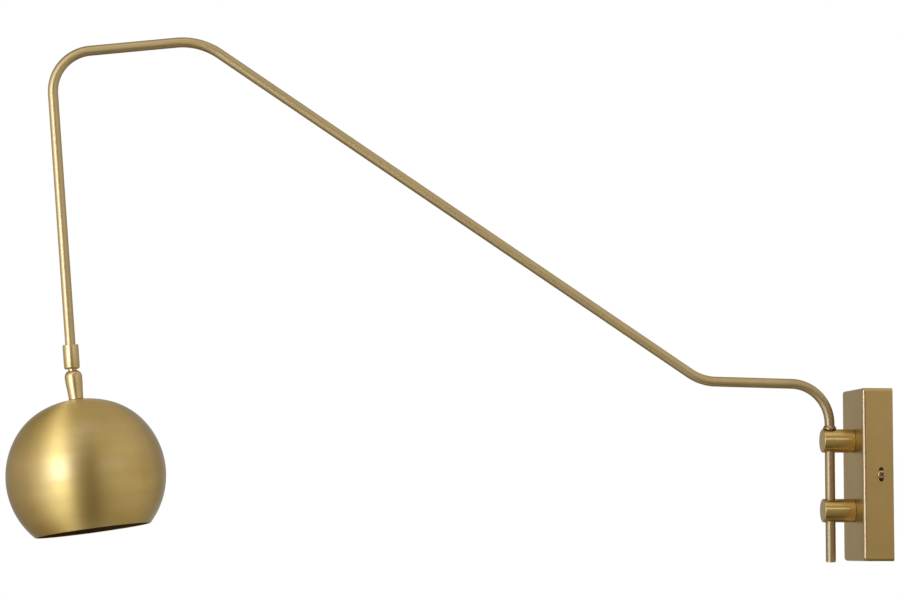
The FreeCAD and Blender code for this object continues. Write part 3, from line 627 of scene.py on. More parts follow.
def plain_metal(name, light, dark, smooth, rough, cloud):
    """Plated or bare small metal."""
    material, tree, shader = material_with_shader(name, Metallic=1.0)
    clouds = use_group(tree, plating_group, Cloud_per_m=cloud)
    vary(tree, shader, clouds.outputs["Cloud"], light, dark, smooth, rough)
    bump(tree, shader, clouds.outputs["Pits"], 0.2, 0.00003)
    return material


bare_brass = plain_metal("bare_brass", (0.82, 0.62, 0.30), (0.70, 0.48, 0.20), 0.22, 0.34, 70.0)
# Painted shade: the side screws' brass is darker than the nuts' brass.
screw_brass = plain_metal(
    "screw_brass", (0.62, 0.46, 0.25), (0.52, 0.37, 0.19), 0.36, 0.46, 160.0
)
zinc = plain_metal("zinc", (0.66, 0.67, 0.68), (0.52, 0.53, 0.55), 0.3, 0.46, 90.0)
nickel = plain_metal("nickel", (0.72, 0.69, 0.63), (0.62, 0.59, 0.54), 0.14, 0.24, 60.0)


def moulded(name, light, dark, smooth, rough, grains, strength, **values):
    """Plastic, ceramic or paint with a fine grain."""
    material, tree, shader = material_with_shader(name, **values)
    grain = use_group(tree, grain_group, Grains_per_m=grains)
    vary(tree, shader, grain.outputs["Patch"], light, dark, smooth, rough)
    bump(tree, shader, grain.outputs["Height"], strength, 0.00005)
    return material


black_plastic = moulded(
    "black_plastic", (0.020, 0.019, 0.018), (0.012, 0.012, 0.011), 0.34, 0.46, 2600.0, 0.25
)
# Dark brown paint for the bracket; its darkness is partly painted shade, seen through the slots.
dark_paint_and_shade = moulded(
    "dark_paint_and_shade", (0.070, 0.038, 0.013), (0.050, 0.027, 0.009), 0.5, 0.62, 1900.0, 0.2,
    Specular_IOR_Level=0.2,
)
white_plastic = moulded(
    "white_plastic", (0.78, 0.77, 0.72), (0.70, 0.69, 0.64), 0.4, 0.5, 2200.0, 0.2,
    Subsurface_Weight=0.08, Subsurface_Scale=0.002,
)
ceramic = moulded("ceramic", (0.82, 0.80, 0.75), (0.74, 0.72, 0.67), 0.16, 0.26, 900.0, 0.15)
green_screw = moulded(
    "green_screw", (0.03, 0.22, 0.07), (0.02, 0.16, 0.05), 0.3, 0.42, 1800.0, 0.2
)
lead_cover = moulded(
    "lead_cover", (0.60, 0.47, 0.24), (0.52, 0.40, 0.19), 0.42, 0.52, 1500.0, 0.25
)
frosted_glass = moulded(
    "frosted_glass", (0.92, 0.91, 0.88), (0.86, 0.85, 0.82), 0.45, 0.55, 3000.0, 0.2,
    Transmission_Weight=0.45, IOR=1.48,
)
print("materials", len(bpy.data.materials))

# %% [markdown]
# ## Ways of making a mesh
#
# The shapes come from four workshop methods: turning an outline on an axis, bending a tube along
# a path of straight runs and arcs, milling a block with cutters, and cutting a thread. Every
# turned outline has its corners broken by a small arc, because that arc is what catches the
# light.

# %% Write the mesh helpers
def rounded_outline(corners, steps=4):
    """Closed outline from (radius, height, fillet) corners, each fillet drawn as an arc."""
    points = []
    for index, (radius, height, fillet) in enumerate(corners):
        here = Vector((radius, height))
        before = Vector(corners[index - 1][:2]) - here
        after = Vector(corners[(index + 1) % len(corners)][:2]) - here
        if fillet == 0:
            points.append(here)
            continue
        half = before.angle(after) / 2
        setback = min(fillet / math.tan(half), 0.48 * before.length, 0.48 * after.length)
        start = here + before.normalized() * setback
        end = here + after.normalized() * setback
        inward = (before.normalized() + after.normalized()).normalized()
        centre = here + inward * setback / math.cos(half)
        sweep_angle = math.pi - 2 * half
        for step in range(steps + 1):
            share = step / steps
            from_start = (start - centre) * math.sin((1 - share) * sweep_angle)
            to_end = (end - centre) * math.sin(share * sweep_angle)
            points.append(centre + (from_start + to_end) / math.sin(sweep_angle))
    return points


def tangent_arc(side, end, count=10):
    """Outline corners of an arc that leaves a side along the axis and curves in to an end."""
    run = end[1] - side[1]
    inward = side[0] - end[0]
    radius = (inward ** 2 + run ** 2) / (2 * inward)
    sweep = math.atan2(run, radius - inward)
    corners = []
    for step in range(count + 1):
        angle = sweep * step / count
        across = side[0] - radius + radius * math.cos(angle)
        corners.append((across, side[1] + radius * math.sin(angle), 0))
    return corners


def ring_mesh(rings, segments, closed=True):
    """Mesh through rings; each ring gives (radius, height) in mm for an angle about local Z."""
    bm = bmesh.new()
    made = []
    for ring in rings:
        if ring(0)[0] < 1e-6:
            made.append([bm.verts.new((0, 0, ring(0)[1] * MM))])
            continue
        loop = []
        for index in range(segments):
            angle = math.tau * index / segments
            radius, height = ring(angle)
            x, y = radius * math.cos(angle), radius * math.sin(angle)
            loop.append(bm.verts.new((x * MM, y * MM, height * MM)))
        made.append(loop)
    pairs = list(zip(made, made[1:]))
    if closed:
        pairs.append((made[-1], made[0]))
    for lower, upper in pairs:
        for index in range(segments):
            after = (index + 1) % segments
            if len(lower) > 1 and len(upper) > 1:
                bm.faces.new((lower[index], lower[after], upper[after], upper[index]))
            elif len(lower) > 1:
                bm.faces.new((lower[index], lower[after], upper[0]))
            elif len(upper) > 1:
                bm.faces.new((lower[0], upper[after], upper[index]))
    return bm


def constant_ring(radius, height):
    """Plain round ring."""
    return lambda angle: (radius, height)


def turned(corners, segments=96, steps=4):
    """Turned piece from an outline of (radius, height, fillet) corners in mm."""
    outline = rounded_outline(corners, steps)
    return ring_mesh([constant_ring(radius, height) for radius, height in outline], segments)


def thread_ring(radius, depth, pitch, height, fade):
    """Ring at a height of a helical thread that fades out at the ends."""
    def ring(angle):
        wave = 0.5 - 0.5 * math.cos(math.tau * height / pitch - angle)
        return radius - depth * wave * fade, height
    return ring


def threaded_sleeve(radius, bore, length, pitch, depth, segments=48):
    """Hollow sleeve from height 0 to its length, with a thread outside."""
    rows = max(8, round(length / pitch * 8))
    rings = [constant_ring(bore, 0), constant_ring(radius - depth, 0)]
    for row in range(rows + 1):
        height = length * row / rows
        fade = min(1.0, height / pitch * 2, (length - height) / pitch * 2)
        rings.append(thread_ring(radius, depth, pitch, height, fade))
    rings += [constant_ring(radius - depth, length), constant_ring(bore, length)]
    return ring_mesh(rings, segments)


def hexagon_radius(width, angle):
    """Distance from the middle of a hexagon to its edge."""
    from_flat = (angle + math.pi / 6) % (math.pi / 3) - math.pi / 6
    return width / 2 / math.cos(from_flat)


def hex_piece(width, thickness, bore, chamfer_slope=0.55, segments=96):
    """Hexagon nut, or a head when the bore is 0, with corners chamfered on both faces."""
    face_radius = width / 2 * 0.97

    def edge(height, sign):
        def ring(angle):
            outside = hexagon_radius(width, angle)
            return outside, height - sign * (outside - face_radius) * chamfer_slope
        return ring

    rings = [
        constant_ring(bore, 0), constant_ring(face_radius, 0), edge(0, -1),
        edge(thickness, 1), constant_ring(face_radius, thickness), constant_ring(bore, thickness),
    ]
    return ring_mesh(rings, segments)


def block(low, high):
    """Plain block between two corners in mm."""
    low, high = Vector(low) * MM, Vector(high) * MM
    bm = bmesh.new()
    bmesh.ops.create_cube(bm, size=1.0)
    for vertex in bm.verts:
        for axis in range(3):
            vertex.co[axis] = low[axis] if vertex.co[axis] < 0 else high[axis]
    return bm


def bar(radius, length, matrix, segments=64):
    """Round bar that starts at a placement and runs along its Z, in mm."""
    outline = ((0, 0), (radius, 0), (radius, length), (0, length))
    bm = ring_mesh([constant_ring(*point) for point in outline], segments, closed=False)
    bm.transform(matrix)
    return bm


def upright_slot(width, length, depth, matrix, segments=32):
    """Cutter with round ends that runs along a placement's Z, long in the placement's Y."""
    bm = bmesh.new()
    half_straight = (length - width) / 2
    bottom, top = [], []
    for index in range(segments):
        angle = math.tau * (index + 0.5) / segments
        shift = half_straight if math.sin(angle) > 0 else -half_straight
        x, y = math.cos(angle) * width / 2, math.sin(angle) * width / 2 + shift
        bottom.append(bm.verts.new((x * MM, y * MM, 0)))
        top.append(bm.verts.new((x * MM, y * MM, depth * MM)))
    bm.faces.new(bottom)
    bm.faces.new(top)
    for index in range(segments):
        after = (index + 1) % segments
        bm.faces.new((bottom[index], bottom[after], top[after], top[index]))
    bmesh.ops.recalc_face_normals(bm, faces=bm.faces)
    bm.transform(matrix)
    return bm


def as_object(name, bm):
    """Mesh object from a bmesh, which is freed."""
    bmesh.ops.recalc_face_normals(bm, faces=bm.faces)
    mesh = bpy.data.meshes.new(name)
    bm.to_mesh(mesh)
    bm.free()
    thing = bpy.data.objects.new(name, mesh)
    bpy.context.scene.collection.objects.link(thing)
    return thing


def milled(base, cutters=(), joined=()):
    """Base with other blocks joined to it and cutters taken out of it, as a new bmesh."""
    stock = as_object("stock", base)
    tools = []
    for operation, group in (("UNION", joined), ("DIFFERENCE", cutters)):
        for tool_bm in group:
            tool = as_object("tool", tool_bm)
            tools.append(tool)
            step = stock.modifiers.new("step", "BOOLEAN")
            step.operation = operation
            step.solver = "EXACT"
            step.object = tool
    shaped = stock.evaluated_get(bpy.context.evaluated_depsgraph_get())
    bm = bmesh.new()
    bm.from_mesh(shaped.to_mesh())
    for thing in [stock, *tools]:
        bpy.data.objects.remove(thing)
    return bm


def piece(name, bm, body, material, nodes=(), matrix=None, bevel=0.0, sharp=38):
    """Finished piece: smooth shading with crisp corners, a material, and its body."""
    thing = as_object(name, bm)
    if matrix is not None:
        thing.matrix_world = matrix
    mesh = thing.data
    mesh.polygons.foreach_set("use_smooth", [True] * len(mesh.polygons))
    mesh.set_sharp_from_angle(angle=math.radians(sharp))
    if bevel:
        edges = thing.modifiers.new("broken_edges", "BEVEL")
        edges.width = bevel * MM
        edges.segments = 3
        edges.limit_method = "ANGLE"
        edges.angle_limit = math.radians(sharp)
        edges.harden_normals = False
        normals = thing.modifiers.new("flat_faces", "WEIGHTED_NORMAL")
        normals.keep_sharp = True
    mesh.materials.append(material)
    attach(thing, body)
    if nodes:
        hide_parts(*nodes)
    print(name, "with", len(mesh.polygons), "faces on", body)
    return thing


def lathe(name, outline, body, slot, material, node, place, *fineness):
    """Piece turned from an outline, which replaces one node."""
    return piece(name, turned(outline, *fineness), body, material, [node], matrix=place)


print("mesh helpers ready")

# %% [markdown]
# ## Wall canopy
#
# The canopy is a shallow box folded from sheet, with its corners filled and dressed to a small
# radius. It's open at the wall. A slot in each side takes a screw, and two holes in the front
# pass the nipples that hold the bosses. The rounded outside is made first and the inside is
# milled out.

# %% Fold the canopy
canopy_low, canopy_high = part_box("canopy_cover")
canopy_front = canopy_low.x / MM
canopy_half_width = canopy_high.y / MM
canopy_half_height = canopy_high.z / MM
canopy_wall = 1.5
canopy_round = 3.0
canopy_top_round = 2.6
canopy_foot_round = 3.6
upper_boss_z = 34.3
lower_boss_z = -35.6
side_screw_x = -12.5
nipple_hole = 5.05

canopy_side = rounded_outline([
    (0, -canopy_half_height, 0), (canopy_front, -canopy_half_height, canopy_foot_round),
    (canopy_front, canopy_half_height, canopy_top_round), (0, canopy_half_height, 0),
], 8)
canopy_bm = bmesh.new()
side_points = [Vector((x, -canopy_half_width, z)) * MM for x, z in canopy_side]
side_corners = [canopy_bm.verts.new(point) for point in side_points]
near_side = canopy_bm.faces.new(side_corners)
swept = bmesh.ops.extrude_face_region(canopy_bm, geom=[near_side])["geom"]
far_corners = [corner for corner in swept if isinstance(corner, bmesh.types.BMVert)]
bmesh.ops.translate(canopy_bm, verts=far_corners, vec=(0, 2 * canopy_half_width * MM, 0))
bmesh.ops.recalc_face_normals(canopy_bm, faces=canopy_bm.faces)


def is_side_edge(edge):
    """True for an edge round a side face, but not at the wall."""
    ends = [vertex.co for vertex in edge.verts]
    return abs((ends[0] - ends[1]).y) < 1e-7 and min(end.x for end in ends) < -1e-6


round_edges = [edge for edge in canopy_bm.edges if is_side_edge(edge)]
bmesh.ops.bevel(
    canopy_bm, geom=round_edges, offset=canopy_round * MM, offset_type="OFFSET", segments=6,
    profile=0.5, affect="EDGES",
)
inner_half_width = canopy_half_width - canopy_wall
inner_half_height = canopy_half_height - canopy_wall
canopy_cutters = [block(
    (canopy_front + canopy_wall, -inner_half_width, -inner_half_height),
    (5, inner_half_width, inner_half_height),
)]
for height in (upper_boss_z, lower_boss_z):
    place = wallward(canopy_front - 2, 0, height)
    canopy_cutters.append(bar(nipple_hole, canopy_wall + 4, place))
screw_slot_width, screw_slot_length = 4.6, 14.3
for side_sign in (-1, 1):
    start = Vector((side_screw_x, side_sign * (canopy_half_width + 1), 0)) * MM
    turn = Matrix(((1, 0, 0), (0, 0, -side_sign), (0, side_sign, 0))).to_4x4()
    place = Matrix.Translation(start) @ turn
    slot = upright_slot(screw_slot_width, screw_slot_length, canopy_wall + 2, place)
    canopy_cutters.append(slot)
piece(
    "folded_canopy", milled(canopy_bm, canopy_cutters), "wall_side", sheet_brass,
    ["canopy_cover"], bevel=0.18,
)

# %% [markdown]
# ## Bracket on the wall
#
# A steel plate in thin dark brown paint is screwed to the outlet box through two long slots. Its
# side tabs are tapped, and the canopy slides over them. The side screw's slot looks on to the
# tab, and in the photograph it is a dark brown, which gives the paint its colour; that darkness
# is partly painted shade in the slot. The plate keeps its sheet edges.

# %% Cut the bracket
bracket_low, bracket_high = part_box("wall_bracket")
bracket_half = bracket_high.y / MM
bracket_top = bracket_high.z / MM
bracket_thickness = 2.0
bracket_corner = 4.0
tab_half_height = 17.0
fixing_slot_width, fixing_slot_length, fixing_slot_z = 5, 13, 44.45
cable_hole = 11.0
tapped_hole = 2.05
earth_screw_z = 24.0
tab_front = bracket_low.x / MM
plate = block((-bracket_thickness, -bracket_half, -bracket_top), (0, bracket_half, bracket_top))
corner_edges = [
    edge for edge in plate.edges if abs((edge.verts[0].co - edge.verts[1].co).x) > 1e-6
]
bmesh.ops.bevel(
    plate, geom=corner_edges, offset=bracket_corner * MM, offset_type="OFFSET", segments=8,
    profile=0.5, affect="EDGES",
)
tabs = []
for side_sign in (-1, 1):
    faces = sorted((side_sign * bracket_half, side_sign * (bracket_half - bracket_thickness)))
    tabs.append(block((tab_front, faces[0], -tab_half_height), (-0.5, faces[1], tab_half_height)))
bracket_cutters = []
cut_start, cut_depth = -bracket_thickness - 1, bracket_thickness + 2
for height in (-fixing_slot_z, fixing_slot_z):
    turn = Matrix(((0, 0, 1), (1, 0, 0), (0, 1, 0))).to_4x4()
    place = Matrix.Translation(Vector((cut_start, 0, height)) * MM) @ turn
    slot = upright_slot(fixing_slot_width, fixing_slot_length, cut_depth, place)
    bracket_cutters.append(slot)
for radius, height in ((cable_hole, 0), (tapped_hole, earth_screw_z)):
    bracket_cutters.append(bar(radius, cut_depth, wallward(cut_start, 0, height)))
across_tabs = on_axis(Vector((side_screw_x, -bracket_half - 2, 0)) * MM, Vector((0, 1, 0)))
bracket_cutters.append(bar(tapped_hole, 2 * bracket_half + 4, across_tabs))
piece(
    "cut_bracket", milled(plate, bracket_cutters, tabs), "wall_side", dark_paint_and_shade,
    ["wall_bracket"], bevel=0.15,
)

# %% [markdown]
# ## Screws in the canopy's sides
#
# Small pan-head screws with a cross recess. The head is a low dome, turned, with two crossing
# grooves milled to a shallow depth, and the shank carries a real helical thread.

# %% Turn the side screws
groove_floor = 0.9
head_radius, head_height = 4.0, 2.4
recess_reach, recess_half = 2.5, 0.6
screw_radius, screw_pitch = 2.0, 0.7
shank_end = 9.0
head_turn = 35


def pan_screw():
    """Pan-head screw on local Z with its seat at 0."""
    dome = [
        (0, 0, 0), (head_radius, 0, 0.3), (head_radius, head_height, 1.4), (0, head_height, 0),
    ]
    head = turned(dome, 64)
    grooves = [
        block((-recess_reach, -recess_half, groove_floor), (recess_reach, recess_half, 4)),
        block((-recess_half, -recess_reach, groove_floor), (recess_half, recess_reach, 4)),
    ]
    cut_head = milled(head, grooves)
    cut_head.transform(Matrix.Rotation(math.radians(head_turn), 4, "Z"))
    shank = threaded_sleeve(screw_radius, 0.0, shank_end - 0.2, screw_pitch, 0.25, 32)
    shank.transform(Matrix.Translation((0, 0, -shank_end * MM)))
    shank_mesh = bpy.data.meshes.new("shank")
    shank.to_mesh(shank_mesh)
    cut_head.from_mesh(shank_mesh)
    shank.free()
    return cut_head


for side_name, side_sign in (("near", -1), ("far", 1)):
    seat_point = Vector((side_screw_x, side_sign * canopy_half_width, 0)) * MM
    seat = on_axis(seat_point, Vector((0, side_sign, 0)))
    screw = piece(
        "side_screw_" + side_name, pan_screw(), "wall_side", screw_brass,
        ["canopy_side_screws"], matrix=seat, bevel=0.05,
    )
    # Painted shade: the faces of the cross recess get the dark brown colour.
    screw.data.materials.append(dark_paint_and_shade)
    for face in screw.data.polygons:
        from_axis = Vector((face.center.x, face.center.y)).length
        above_seat = face.center.z > (groove_floor - 0.05) * MM
        in_groove = abs(face.normal.z) < 0.1 or face.center.z < (groove_floor + 0.05) * MM
        if above_seat and in_groove and from_axis < (recess_reach + 0.2) * MM:
            face.material_index = 1

# %% [markdown]
# ## Bosses
#
# Two turned bosses carry the rod. Each is a short bar with a broken edge at the outer end and a
# vertical bore for the rod. The bore's mouth is what shows as a thin dark ring at the rod.

# %% Turn and bore the bosses
boss_radius = 11.8
boss_length = 31.5
rod_bore = 5.05
rod_from_wall = -rod_x / MM


def boss():
    """Boss on local Z from the canopy's front, with the cross bore along local X."""
    outline = [
        (0, 0, 0), (boss_radius, 0, 0.5), (boss_radius, boss_length, 0.6), (0, boss_length, 0),
    ]
    body = turned(outline, 128, 5)
    across = wallward(-boss_radius - 2, 0, rod_from_wall + canopy_front)
    return milled(body, [bar(rod_bore, 2 * boss_radius + 4, across, 96)])


for boss_name, height in (("upper", upper_boss_z), ("lower", lower_boss_z)):
    turn = Matrix(((0, 0, -1), (0, 1, 0), (1, 0, 0))).to_4x4()
    place = Matrix.Translation(Vector((canopy_front, 0, height)) * MM) @ turn
    piece(
        "boss_" + boss_name, boss(), "wall_side", turned_brass,
        ["arm_boss_" + boss_name], matrix=place, bevel=0.22,
    )

# %% [markdown]
# ## Fixings behind the bosses
#
# A hollow threaded nipple goes through the canopy's front into each boss, with a washer and a
# thin hexagon nut. They show from the wall side, so the thread and the nut's chamfers are
# modelled.

# %% Cut the nipples, washers and nuts
nipple_radius = 5.0
nipple_bore = 3.2
nipple_pitch = 0.94
nipple_groove = 0.35
washer_thickness = 1.5
washer_radius = 10.5
nut_thickness = 3.5
nut_width = 14.0
nipple_low, nipple_high = [corner.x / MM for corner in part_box("boss_nipples")]
inside_front = canopy_front + canopy_wall
boss_washer = [
    (nipple_hole, 0, 0.1), (washer_radius, 0, 0.15), (washer_radius, washer_thickness, 0.3),
    (nipple_hole, washer_thickness, 0.1),
]
for boss_name, height in (("upper", upper_boss_z), ("lower", lower_boss_z)):
    nipple = threaded_sleeve(
        nipple_radius, nipple_bore, nipple_high - nipple_low, nipple_pitch, nipple_groove
    )
    piece(
        "nipple_" + boss_name, nipple, "wall_side", zinc, ["boss_nipples"],
        matrix=wallward(nipple_low, 0, height),
    )
    lathe(
        "washer_" + boss_name, boss_washer, "wall_side", "zinc_steel", zinc, "boss_washers",
        wallward(inside_front, 0, height), 96, 2,
    )
    piece(
        "nut_" + boss_name, hex_piece(nut_width, nut_thickness, nipple_hole), "wall_side",
        bare_brass, ["boss_nuts"],
        matrix=wallward(inside_front + washer_thickness, 0, height), sharp=20,
    )

# %% [markdown]
# ## Inside the canopy
#
# The terminal block is a small moulding with three wire ways and a clamp screw well over each
# end. The earth screw is a green hexagon screw with a flange. The small slotted screws and the
# lead keep their CAD shapes and get their materials further down.

# %% Mould the terminal block and turn the earth screw
block_low, block_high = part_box("terminal_block")
low, high = block_low / MM, block_high / MM
moulding = block(tuple(low), tuple(high))
way_step = 9.0
way_radius = 2.5
clamp_well = 1.65
groove_half, groove_depth = 0.4, 1.2
wells = []
way_x = (low.x + high.x) / 2
for way in (-1, 0, 1):
    place = on_axis(Vector((way_x, way * way_step, low.z - 1)) * MM, up_z)
    wells.append(bar(way_radius, high.z - low.z + 2, place, 32))
    for level in (-1, 1):
        height = (low.z + high.z) / 2 + level * way_step / 2
        place = wallward(low.x - 1, way * way_step, height)
        wells.append(bar(clamp_well, way_x - low.x + 1, place, 32))
grooves = []
for middle in (-way_step / 2, way_step / 2):
    grooves.append(block(
        (low.x - 1, middle - groove_half, low.z - 1),
        (low.x + groove_depth, middle + groove_half, high.z + 1),
    ))
piece(
    "moulded_block", milled(moulding, wells + grooves), "wall_side",
    white_plastic, ["terminal_block"], bevel=0.3,
)

flange_thickness = 0.8


def earth_piece(name, bm, from_wall, sharp=38):
    """Part of the earth screw that starts at a distance from the wall and faces the room."""
    place = on_axis(Vector((-from_wall, 0, earth_screw_z)) * MM, towards_room)
    piece(
        name, bm, "wall_side", green_screw, ["ground_screw"], matrix=place,
        sharp=sharp,
    )


flange = [(0, 0, 0), (4.6, 0, 0.1), (4.6, flange_thickness, 0.3), (0, flange_thickness, 0)]
earth_piece("earth_screw_flange", turned(flange, 64, 3), bracket_thickness)
earth_head = hex_piece(7.0, 2.2, 0.0)
earth_piece("earth_screw_head", earth_head, bracket_thickness + flange_thickness, sharp=20)
earth_shank = threaded_sleeve(screw_radius, 0.0, bracket_thickness, screw_pitch, 0.2, 32)
earth_piece("earth_screw_shank", earth_shank, 0)

# %% [markdown]
# ## Bent arm
#
# One brass tube runs from the rod's foot, up through both bosses, out along a low run, up the
# long diagonal, down the gentle top run and down the drop. It is bent on formers of four sizes,
# all in one plane. The mesh follows the same straight runs and arcs, with a map whose second axis
# is the length.

# %% Bend the tube
tube_radius = 5.0
tube_wall = 1.2
rod_foot = -86.3
rod_corner = 90.7
runs = [(131.2, 1.2), (603.6, 33.5), (147.4, -6.7), (305.0, -94.5)]
bend_radii = [39.6, 49.6, 63.8, 40.6]
socket_floor = 9.0

corners = [Vector((-rod_from_wall, 0, rod_foot)), Vector((-rod_from_wall, 0, rod_corner))]
for length, degrees in runs:
    angle = math.radians(degrees)
    corners.append(corners[-1] + Vector((-length * math.cos(angle), 0, length * math.sin(angle))))
print("the path misses the pivot by", round((corners[-1] * MM - pivot).length / MM, 4), "mm")
corners[-1] = pivot / MM + drop_up * socket_floor


def bent_path(corners, radii, arc_step=2.5, run_step=12.0):
    """Stations (point, direction, length so far) along straight runs and tangent arcs, in mm."""
    stations = []

    def go_to(point, heading):
        travelled = 0.0
        if stations:
            travelled = stations[-1][2] + (point - stations[-1][0]).length
        stations.append((point, heading, travelled))

    start = corners[0]
    for index, corner in enumerate(corners[1:]):
        heading = (corner - start).normalized()
        setback = 0.0
        if index < len(radii):
            after = (corners[index + 2] - corner).normalized()
            turn = heading.angle(after)
            setback = radii[index] * math.tan(turn / 2)
        run_end = corner - heading * setback
        count = max(2, round((run_end - start).length / run_step))
        for step in range(0 if index == 0 else 1, count + 1):
            go_to(start.lerp(run_end, step / count), heading)
        if index >= len(radii):
            break
        inward = (after - heading * heading.dot(after)).normalized()
        centre = run_end + inward * radii[index]
        steps = max(4, round(math.degrees(turn) / arc_step))
        for step in range(1, steps + 1):
            angle = turn * step / steps
            spoke = heading * math.sin(angle) - inward * math.cos(angle)
            onward = heading * math.cos(angle) + inward * math.sin(angle)
            go_to(centre + spoke * radii[index], onward)
        start = centre - (inward * math.cos(turn) - heading * math.sin(turn)) * radii[index]
    return stations


def tube_mesh(stations, radius, bore, segments=48):
    """Hollow tube through stations in the arm's plane, mapped by turn and metres along."""
    bm = bmesh.new()
    map_layer = bm.loops.layers.uv.new("UVMap")
    across = Vector((0, 1, 0))
    walls = []
    for wall_radius in (radius, bore):
        loops = []
        for point, heading, travelled in stations:
            outward = heading.cross(across)
            loop = []
            for index in range(segments):
                angle = math.tau * index / segments
                spoke = across * math.cos(angle) + outward * math.sin(angle)
                loop.append(bm.verts.new((point + spoke * wall_radius) * MM))
            loops.append(loop)
        walls.append(loops)

    def panel(first, second, index, after, low, high):
        face = bm.faces.new((first[index], first[after], second[after], second[index]))
        this_share, next_share = index / segments, (index + 1) / segments
        shares = (this_share, next_share, next_share, this_share)
        for corner, share, length in zip(face.loops, shares, (low, low, high, high)):
            corner[map_layer].uv = (share, length * MM)

    for loops in walls:
        for row in range(len(loops) - 1):
            low, high = stations[row][2], stations[row + 1][2]
            for index in range(segments):
                panel(loops[row], loops[row + 1], index, (index + 1) % segments, low, high)
    for row in (0, -1):
        travelled = stations[row][2]
        for index in range(segments):
            after = (index + 1) % segments
            panel(walls[0][row], walls[1][row], index, after, travelled, travelled)
    return bm


arm_stations = bent_path(corners, bend_radii)
bent_tube = tube_mesh(arm_stations, tube_radius, tube_radius - tube_wall)
piece("bent_tube", bent_tube, "arm", tube_brass, ["arm_tube"])

# %% [markdown]
# ## Stop collar and foot plug
#
# The collar is a small tapered ring fixed on the rod. It rests on the upper boss and carries the
# whole arm. A plug with a low dome closes the rod's foot, and a fine groove shows where it meets
# the tube.

# %% Turn the collar and the plug
collar_base = upper_boss_z + boss_radius + 0.1
collar_place = Matrix.Translation(Vector((-rod_from_wall, 0, collar_base)) * MM)
collar_radius, collar_height = 6.9, 3.3
collar_outline = [
    (tube_radius, 0, 0), (collar_radius, 0, 0.2), (collar_radius, 0.6, 0.25),
    (5.4, collar_height, 0.3), (tube_radius, collar_height, 0),
]
lathe(
    "collar_ring", collar_outline, "arm", "satin_brass", collar_brass, "stop_collar",
    collar_place,
)

plug_place = Matrix.Translation(Vector((-rod_from_wall, 0, rod_foot)) * MM)
plug_full = tube_radius - 0.4
plug_dome = 0.4
dome_radius = (plug_full ** 2 + plug_dome ** 2) / (2 * plug_dome)
dome_corners = []
for step in range(9):
    radius = plug_full * (1 - step / 8)
    drop = math.sqrt(dome_radius ** 2 - radius ** 2) - (dome_radius - plug_dome)
    dome_corners.append((radius, -0.8 - drop, 0.12 if step == 0 else 0))
plug_shank, plug_length = 3.75, 6.0
plug_outline = [
    (0, plug_length, 0), (plug_shank, plug_length, 0.4), (plug_shank, 0, 0.05),
    (plug_full, 0, 0.15),
] + dome_corners
lathe(
    "foot_plug", plug_outline, "arm", "satin_brass", turned_brass, "rod_end_plug", plug_place,
    64, 3,
)

# %% [markdown]
# ## Ball swivel
#
# The barrel is soldered to the drop tube and holds the ball's cavity. A ring with a lip is
# screwed under it and keeps the ball in, and a fine groove shows the joint. The friction seat
# sits inside on the ball. The ball itself is bored for the lead and ends in a slim waist.

# %% Turn the swivel
drop_place = on_axis(pivot, drop_up)
barrel_radius, barrel_top = 7.7, 19.0
ring_joint, ring_foot = -1.7, -4.6
cavity_radius = 6.45
barrel_outline = [
    (tube_radius, barrel_top, 0), (barrel_radius, barrel_top, 0.55), (barrel_radius, -1.1, 0.18),
    (7.3, -1.1, 0), (7.3, ring_joint, 0), (cavity_radius, ring_joint, 0),
    (cavity_radius, 7.5, 0), (nipple_bore, 7.5, 0), (nipple_bore, socket_floor, 0),
    (tube_radius, socket_floor, 0),
]
lathe("barrel", barrel_outline, "arm", "satin_brass", neck_brass, "swivel_barrel", drop_place)
ball_radius = 6.3
ring_inside = []
for step in range(7):
    height = -3.3 + 1.6 * step / 6
    ring_inside.append((math.sqrt((ball_radius + 0.05) ** 2 - height ** 2) + 0.01, height, 0))
ring_outline = [(barrel_radius, ring_joint, 0.18)]
ring_outline += tangent_arc((barrel_radius, -2.2), (6.5, ring_foot))
ring_outline += [(5.9, ring_foot, 0.1)] + ring_inside
lathe("lip_ring", ring_outline, "arm", "satin_brass", neck_brass, "swivel_ring", drop_place)
seat_low, seat_high = 2.6, 7.45
seat_inside = []
for step in range(9):
    height = seat_low + (4.83 - seat_low) * step / 8
    seat_inside.append((max(4.1, math.sqrt((ball_radius + 0.05) ** 2 - height ** 2)), height, 0))
seat_outline = seat_inside + [(4.1, seat_high, 0), (6.3, seat_high, 0.2), (6.3, seat_low, 0)]
lathe(
    "friction_seat", seat_outline, "swivel", "black_plastic", black_plastic, "swivel_seat",
    drop_place, 64,
)

pivot_place = on_axis(pivot, shade_up)
ball_outline = []
waist_radius = 4.1
waist_top = -math.sqrt(ball_radius ** 2 - waist_radius ** 2)
for step in range(25):
    height = 4.0 + (waist_top - 4.0) * step / 24
    fillet = 0.15 if step == 0 else 0.35 if step == 24 else 0
    ball_outline.append((math.sqrt(ball_radius ** 2 - height ** 2), height, fillet))
waist_foot, stud_foot = -6.7, -15.7
stud_radius, lead_bore = 4.05, 2.5
ball_outline += [
    (waist_radius, waist_foot, 0), (stud_radius, waist_foot, 0), (stud_radius, stud_foot, 0.3),
    (lead_bore, stud_foot, 0.1), (lead_bore, 0, 0), (3.8, 4.0, 0.1),
]
lathe(
    "ball_and_stud", ball_outline, "shade", "satin_brass", neck_brass, "swivel_ball", pivot_place
)

# %% [markdown]
# ## Neck
#
# The neck is turned from bar: a rounded shoulder under the waist, then a slow taper down to the
# crown that leaves the shoulder and meets the foot straight along the axis. Inside it is threaded
# for the stud above and the nipple below.

